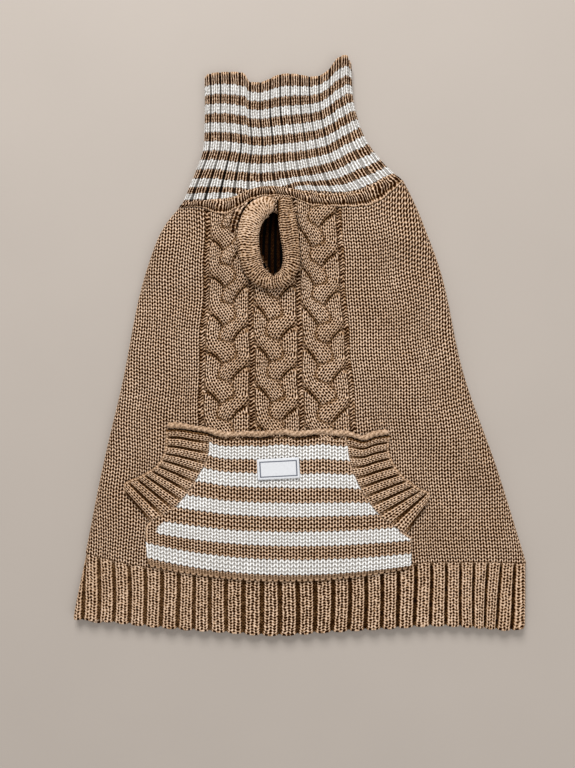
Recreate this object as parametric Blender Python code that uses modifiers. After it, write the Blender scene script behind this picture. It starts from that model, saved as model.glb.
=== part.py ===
"""Knitted dog sweater, laid flat with its back upwards.

X runs across the sweater and Y from the hem to the collar. Z runs up from the surface that it lies on.
The tables and sizes are in millimetres, and every mesh is made in metres.

The garment is a row of flattened tubes: hem, body, collar band and collar. The body is a back panel that
wraps round both side folds and a belly panel let in between its two edges on the underside.
"""
import math

import bmesh
import bpy
from mathutils import Vector

MM = 0.001

# Driving sizes, in millimetres
WALL = 3.2  # chunky cotton knit
LAID_HEIGHT = 9.0  # both layers and the air between them
SEAM_GAP = 0.3  # pieces that are sewn together stay this far apart
SAME_PLACE = 0.01  # corners nearer than this are one
CREASE = 40.0  # edges that turn by more degrees than this stay sharp

# Facets: both layers of every tube share these columns, so that seams run side by side
ACROSS = 20
FOLD_FACETS = 4
HEM_ROWS = 2
BODY_ROWS = 13
BAND_ROWS = 1
COLLAR_ROWS = 8

# Cross courses, each a curve of (across, up)
HEM_EDGE = (
    (-186.4, -226.7), (-160.0, -228.7), (-115.0, -233.6), (-60.0, -237.7), (-20.0, -240.2), (20.0, -237.7),
    (75.0, -234.4), (115.0, -232.2), (156.0, -234.4), (175.0, -236.0), (186.4, -233.6),
)
HEM_TOP = (
    (-175.7, -171.5), (-152.0, -178.0), (-126.0, -183.0), (-80.0, -187.0), (-20.0, -189.0), (40.0, -187.0),
    (96.0, -180.0), (140.0, -178.8), (186.4, -180.0),
)
NECK_SEAM = (
    (-100.2, 113.5), (-82.0, 113.7), (-64.0, 107.5), (-50.0, 113.0), (-38.0, 120.5), (-20.0, 123.0),
    (-4.0, 121.0), (8.0, 115.5), (35.0, 114.0), (58.0, 115.0), (73.0, 123.0), (86.6, 136.4),
)
BAND_TOP = (
    (-97.5, 117.4), (-72.0, 120.6), (-55.0, 122.5), (-42.0, 128.5), (-24.0, 131.6), (3.0, 129.0),
    (23.0, 126.5), (44.0, 128.1), (57.5, 131.5), (69.0, 138.5), (79.0, 142.5),
)
COLLAR_EDGE = (
    (-79.0, 222.5), (-72.0, 226.0), (-52.0, 226.0), (-42.0, 219.5), (-32.0, 217.5), (-18.0, 224.0),
    (14.0, 223.8), (22.0, 227.0), (32.0, 238.0), (40.0, 240.0), (43.5, 234.8),
)

# Soft trough down the collar's upper layer, deepest at its open edge
COLLAR_TROUGH = {"across": -31.0, "half_width": 9.0, "depth": 2.2}

# Side folds of each tube: (share of the way up, left fold, right fold)
HEM_SIDES = ((0.0, -186.4, 186.4), (0.5, -180.6, 186.4), (1.0, -175.7, 186.4))
BODY_SIDES = (
    (0.0, -175.7, 186.4), (0.25, -161.2, 162.0), (0.5, -144.8, 134.3),
    (0.75, -131.0, 117.5), (0.9, -117.4, 100.9), (1.0, -100.2, 86.6),
)
BAND_SIDES = ((0.0, -100.2, 86.6), (1.0, -97.5, 79.0))
COLLAR_SIDES = (
    (0.0, -97.5, 79.0), (0.1, -93.2, 69.8), (0.27, -85.9, 57.8), (0.42, -80.4, 51.1),
    (0.67, -78.9, 45.1), (1.0, -79.0, 43.5),
)

# Leash hole: the middle line of its rolled trim, from the lapped end round to the neck (across, up, width)
TRIM_ROUTE = (
    (-20.4, 112.8, 15.5), (-27.5, 113.2, 17.8), (-36.0, 107.6, 18.6), (-41.2, 94.5, 18.4), (-41.3, 78.0, 18.4),
    (-38.0, 63.5, 17.4), (-30.8, 54.8, 14.8), (-21.5, 52.0, 13.0), (-12.8, 55.2, 13.4), (-7.2, 64.5, 14.4),
    (-6.6, 77.5, 14.8), (-8.2, 90.5, 15.8), (-9.8, 102.5, 15.6), (-11.4, 112.5, 13.8), (-12.6, 120.0, 12.5),
)
TRIM_HEIGHT = 9.0
TRIM_POINTS = 30
TRIM_TIP_LENGTH = 6.0
TRIM_TIP_BLUNT = 0.5  # length of the tip that its flat end cuts off
ROLL_BEVEL = 2  # bevel resolution of the rolled edges
LEASH_HOLE = {"middle": (-22.5, 83.5), "width": 26.0, "length": 54.0}

# Leg openings in the belly panel, with rib cuffs let into them
LEG_OPENINGS = {"left": (-58.0, 48.0), "right": (44.0, 48.0)}
LEG_WIDTH = 44.0
LEG_LENGTH = 58.0
CUFF_DEPTH = 12.0
CUFF_FACETS = 28
CUTTER_LENGTH = 30.0

# Kangaroo pocket: (share of the way down, left x, left y, right x, right y)
POUCH_SIDES = (
    (0.0, -74.4, -72.4, 39.3, -75.5), (0.15, -75.2, -90.2, 41.5, -93.5), (0.35, -86.7, -113.0, 50.5, -117.0),
    (0.55, -103.2, -133.6, 65.5, -138.5), (0.7, -122.5, -144.8, 88.0, -155.0),
    (0.76, -126.2, -150.5, 94.4, -160.0), (1.0, -124.6, -181.7, 93.7, -183.0),
)
POUCH_SAG = 13.5  # how far the pouch's lower edge bows down in the middle
POUCH_FULLNESS = 2.2  # how far the pouch stands off the back panel
TOP_EASE = 8  # how fast the courses leave the line of the top edge
POUCH_COLUMNS = 12
POUCH_ROWS = 10
SEAM_ROWS = 7  # rows of the pouch that its rib bands are sewn to

# Free edges of the hand openings' rib bands: (share of the way down the seam, left x, y, right x, y)
BAND_FREE_EDGES = (
    (0.0, -109.8, -68.4, 74.4, -71.6), (0.25, -110.8, -86.0, 74.6, -89.0),
    (0.5, -117.5, -98.6, 84.0, -105.6), (0.75, -131.5, -107.6, 98.5, -117.2),
    (0.92, -142.8, -112.6, 106.8, -121.6), (1.0, -144.2, -119.6, 104.6, -131.0),
)
BAND_COLUMNS = 4
BAND_GAP = 0.45  # between each band and the pouch, whose seam is slanted

# Rolled edge along the top of the pocket (across, up)
TOP_EDGE_ROUTE = (
    (-109.0, -66.0), (-99.5, -65.6), (-86.0, -67.7), (-75.0, -69.3), (-67.0, -72.0), (-58.0, -73.2),
    (-42.0, -72.5), (-31.0, -72.8), (-18.0, -71.1), (-10.0, -71.2), (-3.0, -72.5), (8.0, -71.6), (19.0, -70.3),
    (30.0, -71.8), (41.0, -72.5), (52.5, -75.8), (62.0, -72.5), (73.5, -70.9),
)
TOP_EDGE_THICKNESS = 4.6
TOP_EDGE_POINTS = 24

LABEL = {"middle": (-17.1, -100.9), "width": 34.5, "height": 17.0, "thickness": 0.8, "turn": 3.0}
LABEL_DOWN = 0.3  # share of the way down the pouch where the label's lower edge lies

# Yarns and cloths, as (red, green, blue) in linear light, and how rough
FINISHES = {
    "tan knit": ((0.42, 0.29, 0.20), 0.95),
    "striped knit": ((0.52, 0.43, 0.35), 0.95),
    "woven label": ((0.62, 0.63, 0.66), 0.85),
}


def through(table, at):
    """Read a smooth curve through the rows of a table, at a value of its first column."""
    at = min(max(at, table[0][0]), table[-1][0])
    last = len(table) - 1
    low = max(index for index, row in enumerate(table[:-1]) if row[0] <= at)
    start, end = table[low], table[low + 1]
    before, after = table[max(low - 1, 0)], table[min(low + 2, last)]
    step = end[0] - start[0]
    share = (at - start[0]) / step
    values = []
    for column in range(1, len(start)):
        rise_in = (end[column] - before[column]) / (end[0] - before[0]) * step
        rise_out = (after[column] - start[column]) / (after[0] - start[0]) * step
        change = end[column] - start[column]
        bend = share * (1 - share)
        ease = share * share * (3 - 2 * share)
        values.append(start[column] + ease * change + bend * ((1 - share) * rise_in - share * rise_out))
    return values


def along(route, count):
    """Space points evenly by share on a smooth curve through a route."""
    numbered = [(index, *point) for index, point in enumerate(route)]
    return [through(numbered, (len(route) - 1) * step / (count - 1)) for step in range(count)]


def stops(first_under, last_under):
    """List places round a flattened tube as (share across, outward, upward).

    They start on the underside at column first_under, pass the left fold, the top and the right fold,
    and end on the underside at column last_under.
    """
    fold = [math.pi * step / (FOLD_FACETS + 1) for step in range(1, FOLD_FACETS + 1)]
    ring = [(column / ACROSS, 0.0, -1.0) for column in range(first_under, -1, -1)]
    ring += [(0.0, -math.sin(turn), -math.cos(turn)) for turn in fold]
    ring += [(column / ACROSS, 0.0, 1.0) for column in range(ACROSS + 1)]
    ring += [(1.0, math.sin(turn), math.cos(turn)) for turn in fold]
    ring += [(column / ACROSS, 0.0, -1.0) for column in range(ACROSS, last_under - 1, -1)]
    return ring


class Tube:
    """A flattened tube of the garment, between a lower and an upper course."""

    def __init__(self, sides, lower, upper, gap_below=SEAM_GAP, gap_above=SEAM_GAP, trough=None):
        self.sides = sides
        self.lower = lower
        self.upper = upper
        self.gap_below = gap_below
        self.gap_above = gap_above
        self.trough = trough

    def across(self, rise, stop, inset=0.0):
        """X of a stop at a share of the way up."""
        left, right = through(self.sides, rise)
        radius = LAID_HEIGHT / 2
        share, outward, _ = stop
        return left + radius + share * (right - left - 2 * radius) + outward * (radius - inset)

    def place(self, rise, stop, inset=0.0):
        """Point of the outer skin, or of a skin that lies inset within it."""
        low = through(self.lower, self.across(0.0, stop))[0] + self.gap_below
        high = through(self.upper, self.across(1.0, stop))[0] - self.gap_above
        radius = LAID_HEIGHT / 2
        height = radius + stop[2] * (radius - inset)
        if self.trough and stop[2] == 1.0:
            beside = (self.across(rise, stop) - self.trough["across"]) / self.trough["half_width"]
            height -= self.trough["depth"] * rise ** 2 * math.exp(-beside ** 2)
        return Vector((self.across(rise, stop, inset), low + rise * (high - low), height)) * MM


HEM = Tube(HEM_SIDES, HEM_EDGE, HEM_TOP, gap_below=0.0, gap_above=SEAM_GAP / 2)
BODY = Tube(BODY_SIDES, HEM_TOP, NECK_SEAM, gap_below=SEAM_GAP / 2)
BAND = Tube(BAND_SIDES, NECK_SEAM, BAND_TOP, gap_above=SEAM_GAP / 2)
COLLAR = Tube(COLLAR_SIDES, BAND_TOP, COLLAR_EDGE, gap_below=SEAM_GAP / 2, gap_above=0.0, trough=COLLAR_TROUGH)


def clear_scene():
    """Remove whatever the file held."""
    for item in list(bpy.data.objects):
        bpy.data.objects.remove(item, do_unlink=True)
    for group in list(bpy.data.collections):
        bpy.data.collections.remove(group)


def new_collection(name):
    """Make a collection in the scene."""
    group = bpy.data.collections.new(name)
    bpy.context.scene.collection.children.link(group)
    return group


def finish(name, finish_name):
    """Make a Principled material for one sub-part."""
    colour, roughness = FINISHES[finish_name]
    material = bpy.data.materials.new(f"{name} {finish_name}")
    material.use_nodes = True
    shader = material.node_tree.nodes["Principled BSDF"]
    shader.inputs["Base Color"].default_value = (*colour, 1.0)
    shader.inputs["Roughness"].default_value = roughness
    shader.inputs["Metallic"].default_value = 0.0
    return material


def add_object(name, data, group, finish_name):
    """Put a mesh or a curve in a collection, with its material."""
    item = bpy.data.objects.new(name, data)
    item.data.materials.append(finish(name, finish_name))
    group.objects.link(item)
    return item


def mesh_from(name, cage):
    """Turn a bmesh into a mesh shaded smooth but for its sharp edges."""
    mesh = bpy.data.meshes.new(name)
    cage.to_mesh(mesh)
    cage.free()
    mesh.shade_smooth()
    mesh.set_sharp_from_angle(angle=math.radians(CREASE))
    return mesh


def knit_tube(name, tube, rows, ring, closed, group, finish_name):
    """Loft a wall of knit round a flattened tube, or part of the way round it.

    The skins are lofted together, and not thickened along their normals, so that the wall's ends stay in
    line with the seams and keep their gap to the next piece.
    """
    cage = bmesh.new()
    outer, inner = (
        [[cage.verts.new(tube.place(row / rows, stop, inset)) for stop in ring] for row in range(rows + 1)]
        for inset in (0.0, WALL)
    )
    count = len(ring)
    spans = [(column, (column + 1) % count) for column in range(count if closed else count - 1)]
    for here, there in spans:
        for row in range(rows):
            cage.faces.new((outer[row][here], outer[row][there], outer[row + 1][there], outer[row + 1][here]))
            cage.faces.new((inner[row][here], inner[row + 1][here], inner[row + 1][there], inner[row][there]))
        for row in (0, rows):
            cage.faces.new((outer[row][here], inner[row][here], inner[row][there], outer[row][there]))
    if not closed:
        for row in range(rows):
            for end in (0, count - 1):
                cage.faces.new((outer[row][end], outer[row + 1][end], inner[row + 1][end], inner[row][end]))
    bmesh.ops.recalc_face_normals(cage, faces=cage.faces)
    return add_object(name, mesh_from(name, cage), group, finish_name)


def laid_panel(name, columns, rows, place, wall, group, finish_name):
    """Shape a grid with place(share across, share up) and give it its thickness upwards.

    Where its two sides come to the same points, as on a ring, they are joined.
    """
    cage = bmesh.new()
    bmesh.ops.create_grid(cage, x_segments=columns, y_segments=rows, size=0.5)
    for corner in cage.verts:
        corner.co = place(corner.co.x + 0.5, corner.co.y + 0.5)
    bmesh.ops.remove_doubles(cage, verts=cage.verts, dist=SAME_PLACE * MM)
    item = add_object(name, mesh_from(name, cage), group, finish_name)
    thick = item.modifiers.new("Wall", "SOLIDIFY")
    thick.thickness = wall * MM
    thick.offset = 1.0
    return item


def cutter(name, middle, width, length, bottom, group):
    """Make an upright oval cutter, from a given height, for one of the two layers."""
    cage = bmesh.new()
    bmesh.ops.create_cone(cage, cap_ends=True, segments=CUFF_FACETS, radius1=0.5, radius2=0.5, depth=1.0)
    for corner in cage.verts:
        across, up, tall = corner.co
        corner.co = Vector((
            middle[0] + across * width, middle[1] + up * length, bottom + (tall + 0.5) * CUTTER_LENGTH
        )) * MM
    mesh = bpy.data.meshes.new(name)
    cage.to_mesh(mesh)
    cage.free()
    item = bpy.data.objects.new(name, mesh)
    item.hide_render = True
    item.display_type = "WIRE"
    group.objects.link(item)
    return item


def cut(item, tool):
    """Cut one piece with a cutter."""
    boolean = item.modifiers.new(tool.name, "BOOLEAN")
    boolean.operation = "DIFFERENCE"
    boolean.object = tool


def rolled_edge(name, points, widths, thickness, group, finish_name):
    """Make a rolled knit edge: a tube that lies on the back panel, wider than it is high."""
    curve = bpy.data.curves.new(name, "CURVE")
    curve.dimensions = "3D"
    curve.bevel_depth = MM / 2
    curve.bevel_resolution = ROLL_BEVEL
    curve.use_fill_caps = True
    line = curve.splines.new("POLY")
    line.points.add(len(points) - 1)
    for knot, place, width in zip(line.points, points, widths):
        knot.co = (place[0] * MM, place[1] * MM, 0.0, 1.0)
        knot.radius = width
    item = add_object(name, curve, group, finish_name)
    item.location.z = (LAID_HEIGHT + SEAM_GAP + thickness / 2) * MM
    item.scale.z = thickness / max(widths)
    return item


def make_body(group, tools):
    """Make the back panel with its leash hole, and the belly panel with its leg openings."""
    back = knit_tube("back_panel", BODY, BODY_ROWS, stops(1, ACROSS - 1), False, group, "tan knit")
    hole = LEASH_HOLE
    above = LAID_HEIGHT / 2
    cut(back, cutter("leash_hole", hole["middle"], hole["width"], hole["length"], above, tools))

    def belly_place(share, rise):
        column = round(1 + share * (ACROSS - 2))
        corner = BODY.place(rise, (column / ACROSS, 0.0, -1.0))
        if column in (1, ACROSS - 1):
            corner.x += SEAM_GAP * MM * (1 if column == 1 else -1)
        return corner

    belly = laid_panel("belly_panel", ACROSS - 2, BODY_ROWS, belly_place, WALL, group, "tan knit")
    reach = 2 * (CUFF_DEPTH + SEAM_GAP)
    for side, middle in LEG_OPENINGS.items():
        below = LAID_HEIGHT / 2 - CUTTER_LENGTH
        cut(belly, cutter(f"leg_hole_{side}", middle, LEG_WIDTH + reach, LEG_LENGTH + reach, below, tools))


def make_cuffs(group):
    """Make the rib rings round the two leg openings."""
    for side, middle in LEG_OPENINGS.items():

        def cuff_place(share, out, middle=middle):
            turn = 2 * math.pi * share
            width = LEG_WIDTH / 2 + out * CUFF_DEPTH
            length = LEG_LENGTH / 2 + out * CUFF_DEPTH
            return Vector((middle[0] + width * math.sin(turn), middle[1] + length * math.cos(turn), 0)) * MM

        laid_panel(f"leg_cuff_{side}", CUFF_FACETS, 1, cuff_place, WALL, group, "tan knit")


def make_leash_trim(group):
    """Make the roll round the leash hole, with a rounded end that laps against its other arm."""
    route = along(TRIM_ROUTE, TRIM_POINTS)
    points = [Vector(stop[:2]) for stop in route]
    widths = [stop[2] for stop in route]
    run = TRIM_TIP_BLUNT
    for index in range(TRIM_POINTS):
        if run < TRIM_TIP_LENGTH:
            widths[index] *= math.sqrt(1 - (1 - run / TRIM_TIP_LENGTH) ** 2)
            run += (points[index + 1] - points[index]).length
    rolled_edge("leash_trim", points, widths, TRIM_HEIGHT, group, "tan knit")


def pocket_top(x):
    """Y of the pocket's upper edge, under its rolled edge."""
    return through(TOP_EDGE_ROUTE, x)[0] - TOP_EDGE_THICKNESS / 2 - 2 * SEAM_GAP


def pocket_course(down, share, left, right):
    """Point on a cross course of the pocket, which follows the rolled edge at the top and sags below."""
    x = left[0] + share * (right[0] - left[0])
    y = left[1] + share * (right[1] - left[1])
    bow = 1 - (2 * share - 1) ** 2
    return x, y + (pocket_top(x) - y) * (1 - down) ** TOP_EASE - POUCH_SAG * down ** 2 * bow


def pouch_lift(down, share):
    """Height of the pouch's underside, which stands a little full off the back panel."""
    return LAID_HEIGHT + SEAM_GAP + POUCH_FULLNESS * 4 * share * (1 - share) * math.sin(math.pi * down)


def make_pocket(group):
    """Make the pouch, its two rib bands and its rolled top edge."""

    def pouch_place(share, rise):
        sides = through(POUCH_SIDES, 1 - rise)
        x, y = pocket_course(1 - rise, share, sides[:2], sides[2:])
        return Vector((x, y, pouch_lift(1 - rise, share))) * MM

    laid_panel("pocket_pouch", POUCH_COLUMNS, POUCH_ROWS, pouch_place, WALL, group, "striped knit")
    for side in ("left", "right"):

        def band_place(share, rise, side=side):
            down = (1 - rise) * SEAM_ROWS / POUCH_ROWS
            half = slice(0, 2) if side == "left" else slice(2, 4)
            seam_end = 0.0 if side == "left" else 1.0
            sides = through(POUCH_SIDES, down)
            seam = Vector(pocket_course(down, seam_end, sides[:2], sides[2:]))
            free = Vector(through(BAND_FREE_EDGES, 1 - rise)[half])
            seam += (free - seam).normalized() * BAND_GAP
            corner = free.lerp(seam, share if side == "left" else 1 - share)
            corner.y += (pocket_top(corner.x) - corner.y) * rise ** TOP_EASE
            return Vector((*corner, LAID_HEIGHT + SEAM_GAP)) * MM

        laid_panel(f"pocket_band_{side}", BAND_COLUMNS, SEAM_ROWS, band_place, WALL, group, "tan knit")
    points = along(TOP_EDGE_ROUTE, TOP_EDGE_POINTS)
    widths = [TOP_EDGE_THICKNESS] * TOP_EDGE_POINTS
    rolled_edge("pocket_top_edge", points, widths, TOP_EDGE_THICKNESS, group, "tan knit")


def make_label(group):
    """Make the woven label on the pouch."""
    bpy.ops.mesh.primitive_cube_add(size=1.0)
    label = bpy.context.active_object
    for owner in list(label.users_collection):
        owner.objects.unlink(label)
    group.objects.link(label)
    label.name = "label"
    label.data.name = "label"
    label.data.materials.append(finish("label", "woven label"))
    label.scale = Vector((LABEL["width"], LABEL["height"], LABEL["thickness"])) * MM
    label.rotation_euler.z = math.radians(LABEL["turn"])
    height = pouch_lift(LABEL_DOWN, 0.5) + WALL + SEAM_GAP + LABEL["thickness"] / 2
    label.location = Vector((*LABEL["middle"], height)) * MM


def main():
    """Build the sweater."""
    clear_scene()
    group = new_collection("dog_sweater")
    tools = new_collection("cutters")
    full_ring = stops(ACROSS - 1, ACROSS)
    knit_tube("hem", HEM, HEM_ROWS, full_ring, True, group, "tan knit")
    make_body(group, tools)
    knit_tube("collar_band", BAND, BAND_ROWS, full_ring, True, group, "tan knit")
    knit_tube("collar", COLLAR, COLLAR_ROWS, full_ring, True, group, "striped knit")
    make_cuffs(group)
    make_leash_trim(group)
    make_pocket(group)
    make_label(group)


main()
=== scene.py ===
"""Looks of a knitted dog sweater that lies flat: cables, ribs, a striped collar and a kangaroo pocket.

X runs across the sweater, Y from the hem to the collar and Z up from the floor. The tables and the functions
that shape the knit work in millimetres, and every mesh is in metres. Each knitted piece is a grid whose
corners follow its stitches; its material reads the same stitches from the UV map "Stitches".
"""
import math

import bpy
import numpy as np
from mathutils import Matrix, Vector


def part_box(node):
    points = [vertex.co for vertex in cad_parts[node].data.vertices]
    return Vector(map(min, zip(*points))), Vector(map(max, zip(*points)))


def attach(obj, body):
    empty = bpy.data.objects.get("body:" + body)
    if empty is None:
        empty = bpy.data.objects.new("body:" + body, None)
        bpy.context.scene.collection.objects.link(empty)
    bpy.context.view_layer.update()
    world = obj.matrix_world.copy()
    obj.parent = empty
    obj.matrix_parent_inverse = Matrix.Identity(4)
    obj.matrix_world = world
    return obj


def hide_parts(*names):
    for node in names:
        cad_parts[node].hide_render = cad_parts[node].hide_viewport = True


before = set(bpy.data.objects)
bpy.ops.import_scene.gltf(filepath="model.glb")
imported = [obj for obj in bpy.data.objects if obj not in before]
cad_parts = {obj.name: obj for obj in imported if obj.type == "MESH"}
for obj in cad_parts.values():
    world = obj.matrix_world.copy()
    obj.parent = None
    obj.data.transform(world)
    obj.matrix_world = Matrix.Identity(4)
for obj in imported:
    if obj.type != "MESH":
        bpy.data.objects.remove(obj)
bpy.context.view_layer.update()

bl_info = {
    "name": "Knitted dog sweater",
    "version": (1, 0, 0),
    "blender": (4, 5, 0),
    "location": "View3D > Sidebar > Sweater",
    "description": "Builds a cable-knit dog sweater that lies flat",
    "category": "Add Mesh",
}

MM = 0.001

# The garment as it was cut and sewn, in millimetres
WALL = 3.2
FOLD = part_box("hem")[1].z / MM / 2  # radius of the folds down its two sides
UNDERLAP = 0.05  # share of the width that the back panel wraps under each side
SEAM = 0.3

HEM_EDGE = (
    (-186.4, -226.7), (-160.0, -228.7), (-115.0, -233.6), (-60.0, -237.7), (-20.0, -240.2), (20.0, -237.7),
    (75.0, -234.4), (115.0, -232.2), (156.0, -234.4), (175.0, -236.0), (186.4, -233.6),
)
HEM_TOP = (
    (-175.7, -171.5), (-152.0, -178.0), (-126.0, -183.0), (-80.0, -187.0), (-20.0, -189.0), (40.0, -187.0),
    (96.0, -180.0), (140.0, -178.8), (186.4, -180.0),
)
NECK_SEAM = (
    (-100.2, 113.5), (-82.0, 113.7), (-64.0, 107.5), (-50.0, 113.0), (-38.0, 120.5), (-20.0, 123.0),
    (-4.0, 121.0), (8.0, 115.5), (35.0, 114.0), (58.0, 115.0), (73.0, 123.0), (86.6, 136.4),
)
BAND_TOP = (
    (-97.5, 117.4), (-72.0, 120.6), (-55.0, 122.5), (-42.0, 128.5), (-24.0, 131.6), (3.0, 128.0),
    (23.0, 125.2), (44.0, 127.4), (57.5, 131.5), (69.0, 138.5), (79.0, 142.5),
)
COLLAR_EDGE = (
    (-79.0, 222.5), (-75.0, 224.6), (-66.0, 226.0), (-48.0, 226.0), (-44.3, 223.6), (-42.2, 219.3),
    (-37.0, 218.3), (-30.0, 219.2), (-16.0, 224.3), (-4.0, 224.7), (11.0, 222.4), (19.5, 224.6),
    (25.0, 229.2), (32.0, 238.0), (40.0, 240.0), (43.5, 234.8),
)
# The line that the collar's lower stripes follow, under the dips of its edge
COLLAR_STRIPE = (
    (-79.0, 223.0), (-62.0, 223.0), (-46.0, 220.6), (-31.0, 219.4), (-14.0, 220.4), (4.0, 222.4),
    (18.0, 226.0), (30.0, 233.0), (43.5, 241.0),
)

# Side folds of each tube: (share of the way up, left fold, right fold)
HEM_SIDES = ((0.0, -187.8, 188.0), (0.5, -182.2, 188.4), (1.0, -177.2, 188.4))
BODY_SIDES = (
    (0.0, -177.2, 188.4), (0.25, -163.0, 163.8), (0.5, -146.4, 136.0),
    (0.75, -132.4, 118.6), (0.9, -118.8, 101.6), (0.96, -109.8, 93.2), (1.0, -100.2, 86.6),
)
BAND_SIDES = ((0.0, -100.2, 86.6), (1.0, -97.5, 79.0))
COLLAR_SIDES = (
    (0.0, -97.5, 79.0), (0.1, -93.2, 69.8), (0.27, -85.9, 57.8), (0.42, -80.4, 51.1),
    (0.67, -78.9, 45.1), (1.0, -79.0, 43.5),
)
# Where its lower courses are crowded: (X, more courses just over the band, more courses further up)
COLLAR_GATHER = (
    (-90.0, 2.4, -0.6), (-73.0, 2.4, -0.6), (-57.0, 2.8, -0.6), (-44.0, 0.6, -0.2), (-25.0, 0.2, 0.1),
    (-8.0, 1.8, 0.5), (1.0, 4.2, 0.9), (17.0, 3.2, 2.2), (32.0, 1.2, 3.0), (46.0, 0.0, 3.4), (80.0, 0.0, 3.4),
)
COLLAR_TROUGH = {"across": -31.0, "half_width": 9.0, "depth": 2.2}

# The hem's ribs aren't even: (ribs counted leftwards from the right fold, distance round the hem)
HEM_SPACING = (
    (0, 0.0), (1, 13.7), (4, 46.7), (7, 82.1), (10, 122.5), (13, 162.8), (16, 206.5), (19, 250.2),
    (22, 289.7), (25, 329.3), (28, 367.2), (31, 406.0), (57, 755.9),
)
HEM_UPRIGHT = 70.0  # how far under the left fold its ribs still stand upright

# Cable panel: (share of the way up the body, middle of its left outer gutter, and of its right one)
CABLE_GUTTERS = (
    (0.0, -84.0, 51.0), (0.25, -82.3, 47.2), (0.5, -80.0, 42.0),
    (0.75, -77.6, 36.8), (0.9, -76.0, 33.3), (1.0, -75.0, 31.5),
)
PLAITS = 3
PLAIT_PITCH = 41.0  # from gutter to gutter, where the panel is at its loosest
GUTTER = 5.2
STRAND_REACH = 11.0  # how far a strand swings from the middle of its plait
STRAND_HALF = 8.2
STRAND_WALE = 3.9
STRAND_COURSE = 3.0
PLAIT_TURN = 100.5  # length in which a strand comes back to the same side
PLAIT_START = -6.2  # Y at which a strand crosses the middle of its plait rightwards
# One turn of a strand: (share of the turn, place across in STRAND_REACH)
STRAND_ACROSS = (
    (-0.136, -0.86), (-0.072, -0.47), (0.0, 0.0), (0.072, 0.47), (0.143, 1.02), (0.23, 1.09), (0.333, 1.06),
    (0.388, 0.71), (0.442, 0.31), (0.487, 0.0), (0.524, -0.23), (0.58, -0.62), (0.64, -1.0), (0.683, -1.09),
    (0.792, -1.09), (0.864, -0.86), (0.928, -0.47), (1.0, 0.0), (1.072, 0.47),
)
# One turn of a strand: (share of the turn, 1 where it crosses over the others and -1 where it goes under)
STRAND_OVER = (
    (-0.1, 1.0), (0.0, 0.9), (0.05, 0.3), (0.1, -1.0), (0.14, -0.5), (0.23, 0.0), (0.32, 0.45), (0.4, 1.0),
    (0.487, 0.9), (0.53, 0.2), (0.58, -1.0), (0.64, -0.5), (0.74, 0.0), (0.82, 0.45), (0.9, 1.0), (1.0, 0.9),
    (1.05, 0.3),
)

# Leash hole: middle line of its rolled trim, from the lapped end round to the neck (across, up, width)
TRIM_ROUTE = (
    (-20.4, 112.8, 15.5), (-27.5, 113.2, 17.8), (-36.0, 107.6, 18.6), (-41.2, 94.5, 18.4),
    (-41.3, 78.0, 18.4), (-38.0, 63.5, 17.4), (-30.8, 54.8, 14.8), (-21.5, 52.0, 13.0), (-12.8, 55.2, 13.4),
    (-7.2, 64.5, 14.4), (-6.6, 77.5, 14.8), (-8.2, 90.5, 15.8), (-9.8, 102.5, 15.6), (-11.4, 112.5, 13.8),
    (-12.6, 120.0, 12.5),
)
TRIM_WALE = 3.9
TRIM_COURSES = 15
TRIM_TIPS = (7.5, 1.0)  # lengths over which the roll's two ends are rounded
# Where the lower end of the hole, below a Y, is pinched to a point
TRIM_PINCH = {"across": -20.8, "below": 60.0, "half_width": 1.5, "depth": 1.8}
# Painted shade: a dark line where the roll's lapped end meets its arm, at this X
TRIM_LAP = {"across": -18.2, "half_width": 2.0}  # dark line where the roll's lapped end meets its arm
# A ridge of stitches that runs beside the trim's upper left side
TRIM_RIDGE = {"from_trim": 4.0, "half_width": 3.3, "height": 1.5, "course": 2.8}
NOT_BESIDE = -99.0  # stands for the distance from the trim where a place isn't on its outer side
LEASH_HOLE = {"middle": (-22.5, 83.5), "width": 26.0, "length": 54.0}

# Leg openings in the belly panel
LEG_OPENINGS = {"left": (-58.0, 48.0), "right": (44.0, 48.0)}
LEG_WIDTH = 44.0
LEG_LENGTH = 58.0
CUFF_DEPTH = 12.0
CUFF_COURSE = 2.9

# Kangaroo pocket: (share of the way down, left x, left y, right x, right y)
POUCH_SIDES = (
    (0.0, -74.4, -72.4, 39.3, -75.5), (0.15, -75.2, -90.2, 41.5, -93.5), (0.35, -86.7, -113.0, 50.5, -117.0),
    (0.55, -103.2, -133.6, 65.5, -138.5), (0.7, -122.5, -144.8, 88.0, -155.0),
    (0.76, -126.2, -150.5, 94.4, -160.0), (1.0, -124.6, -181.7, 93.7, -183.0),
)
# How far its courses are pulled up at its sides: (share of the way down, at the left, at the right)
POUCH_PULL = (
    (0.0, 0.0, 0.0), (0.3, 0.1, -2.8), (0.55, 0.3, -3.3), (0.75, 2.6, -3.0), (0.93, 3.0, -4.0),
    (1.0, 0.0, 0.0),
)
POUCH_SAG = 12.0  # how far the middle of its lowest course hangs under the ends
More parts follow.
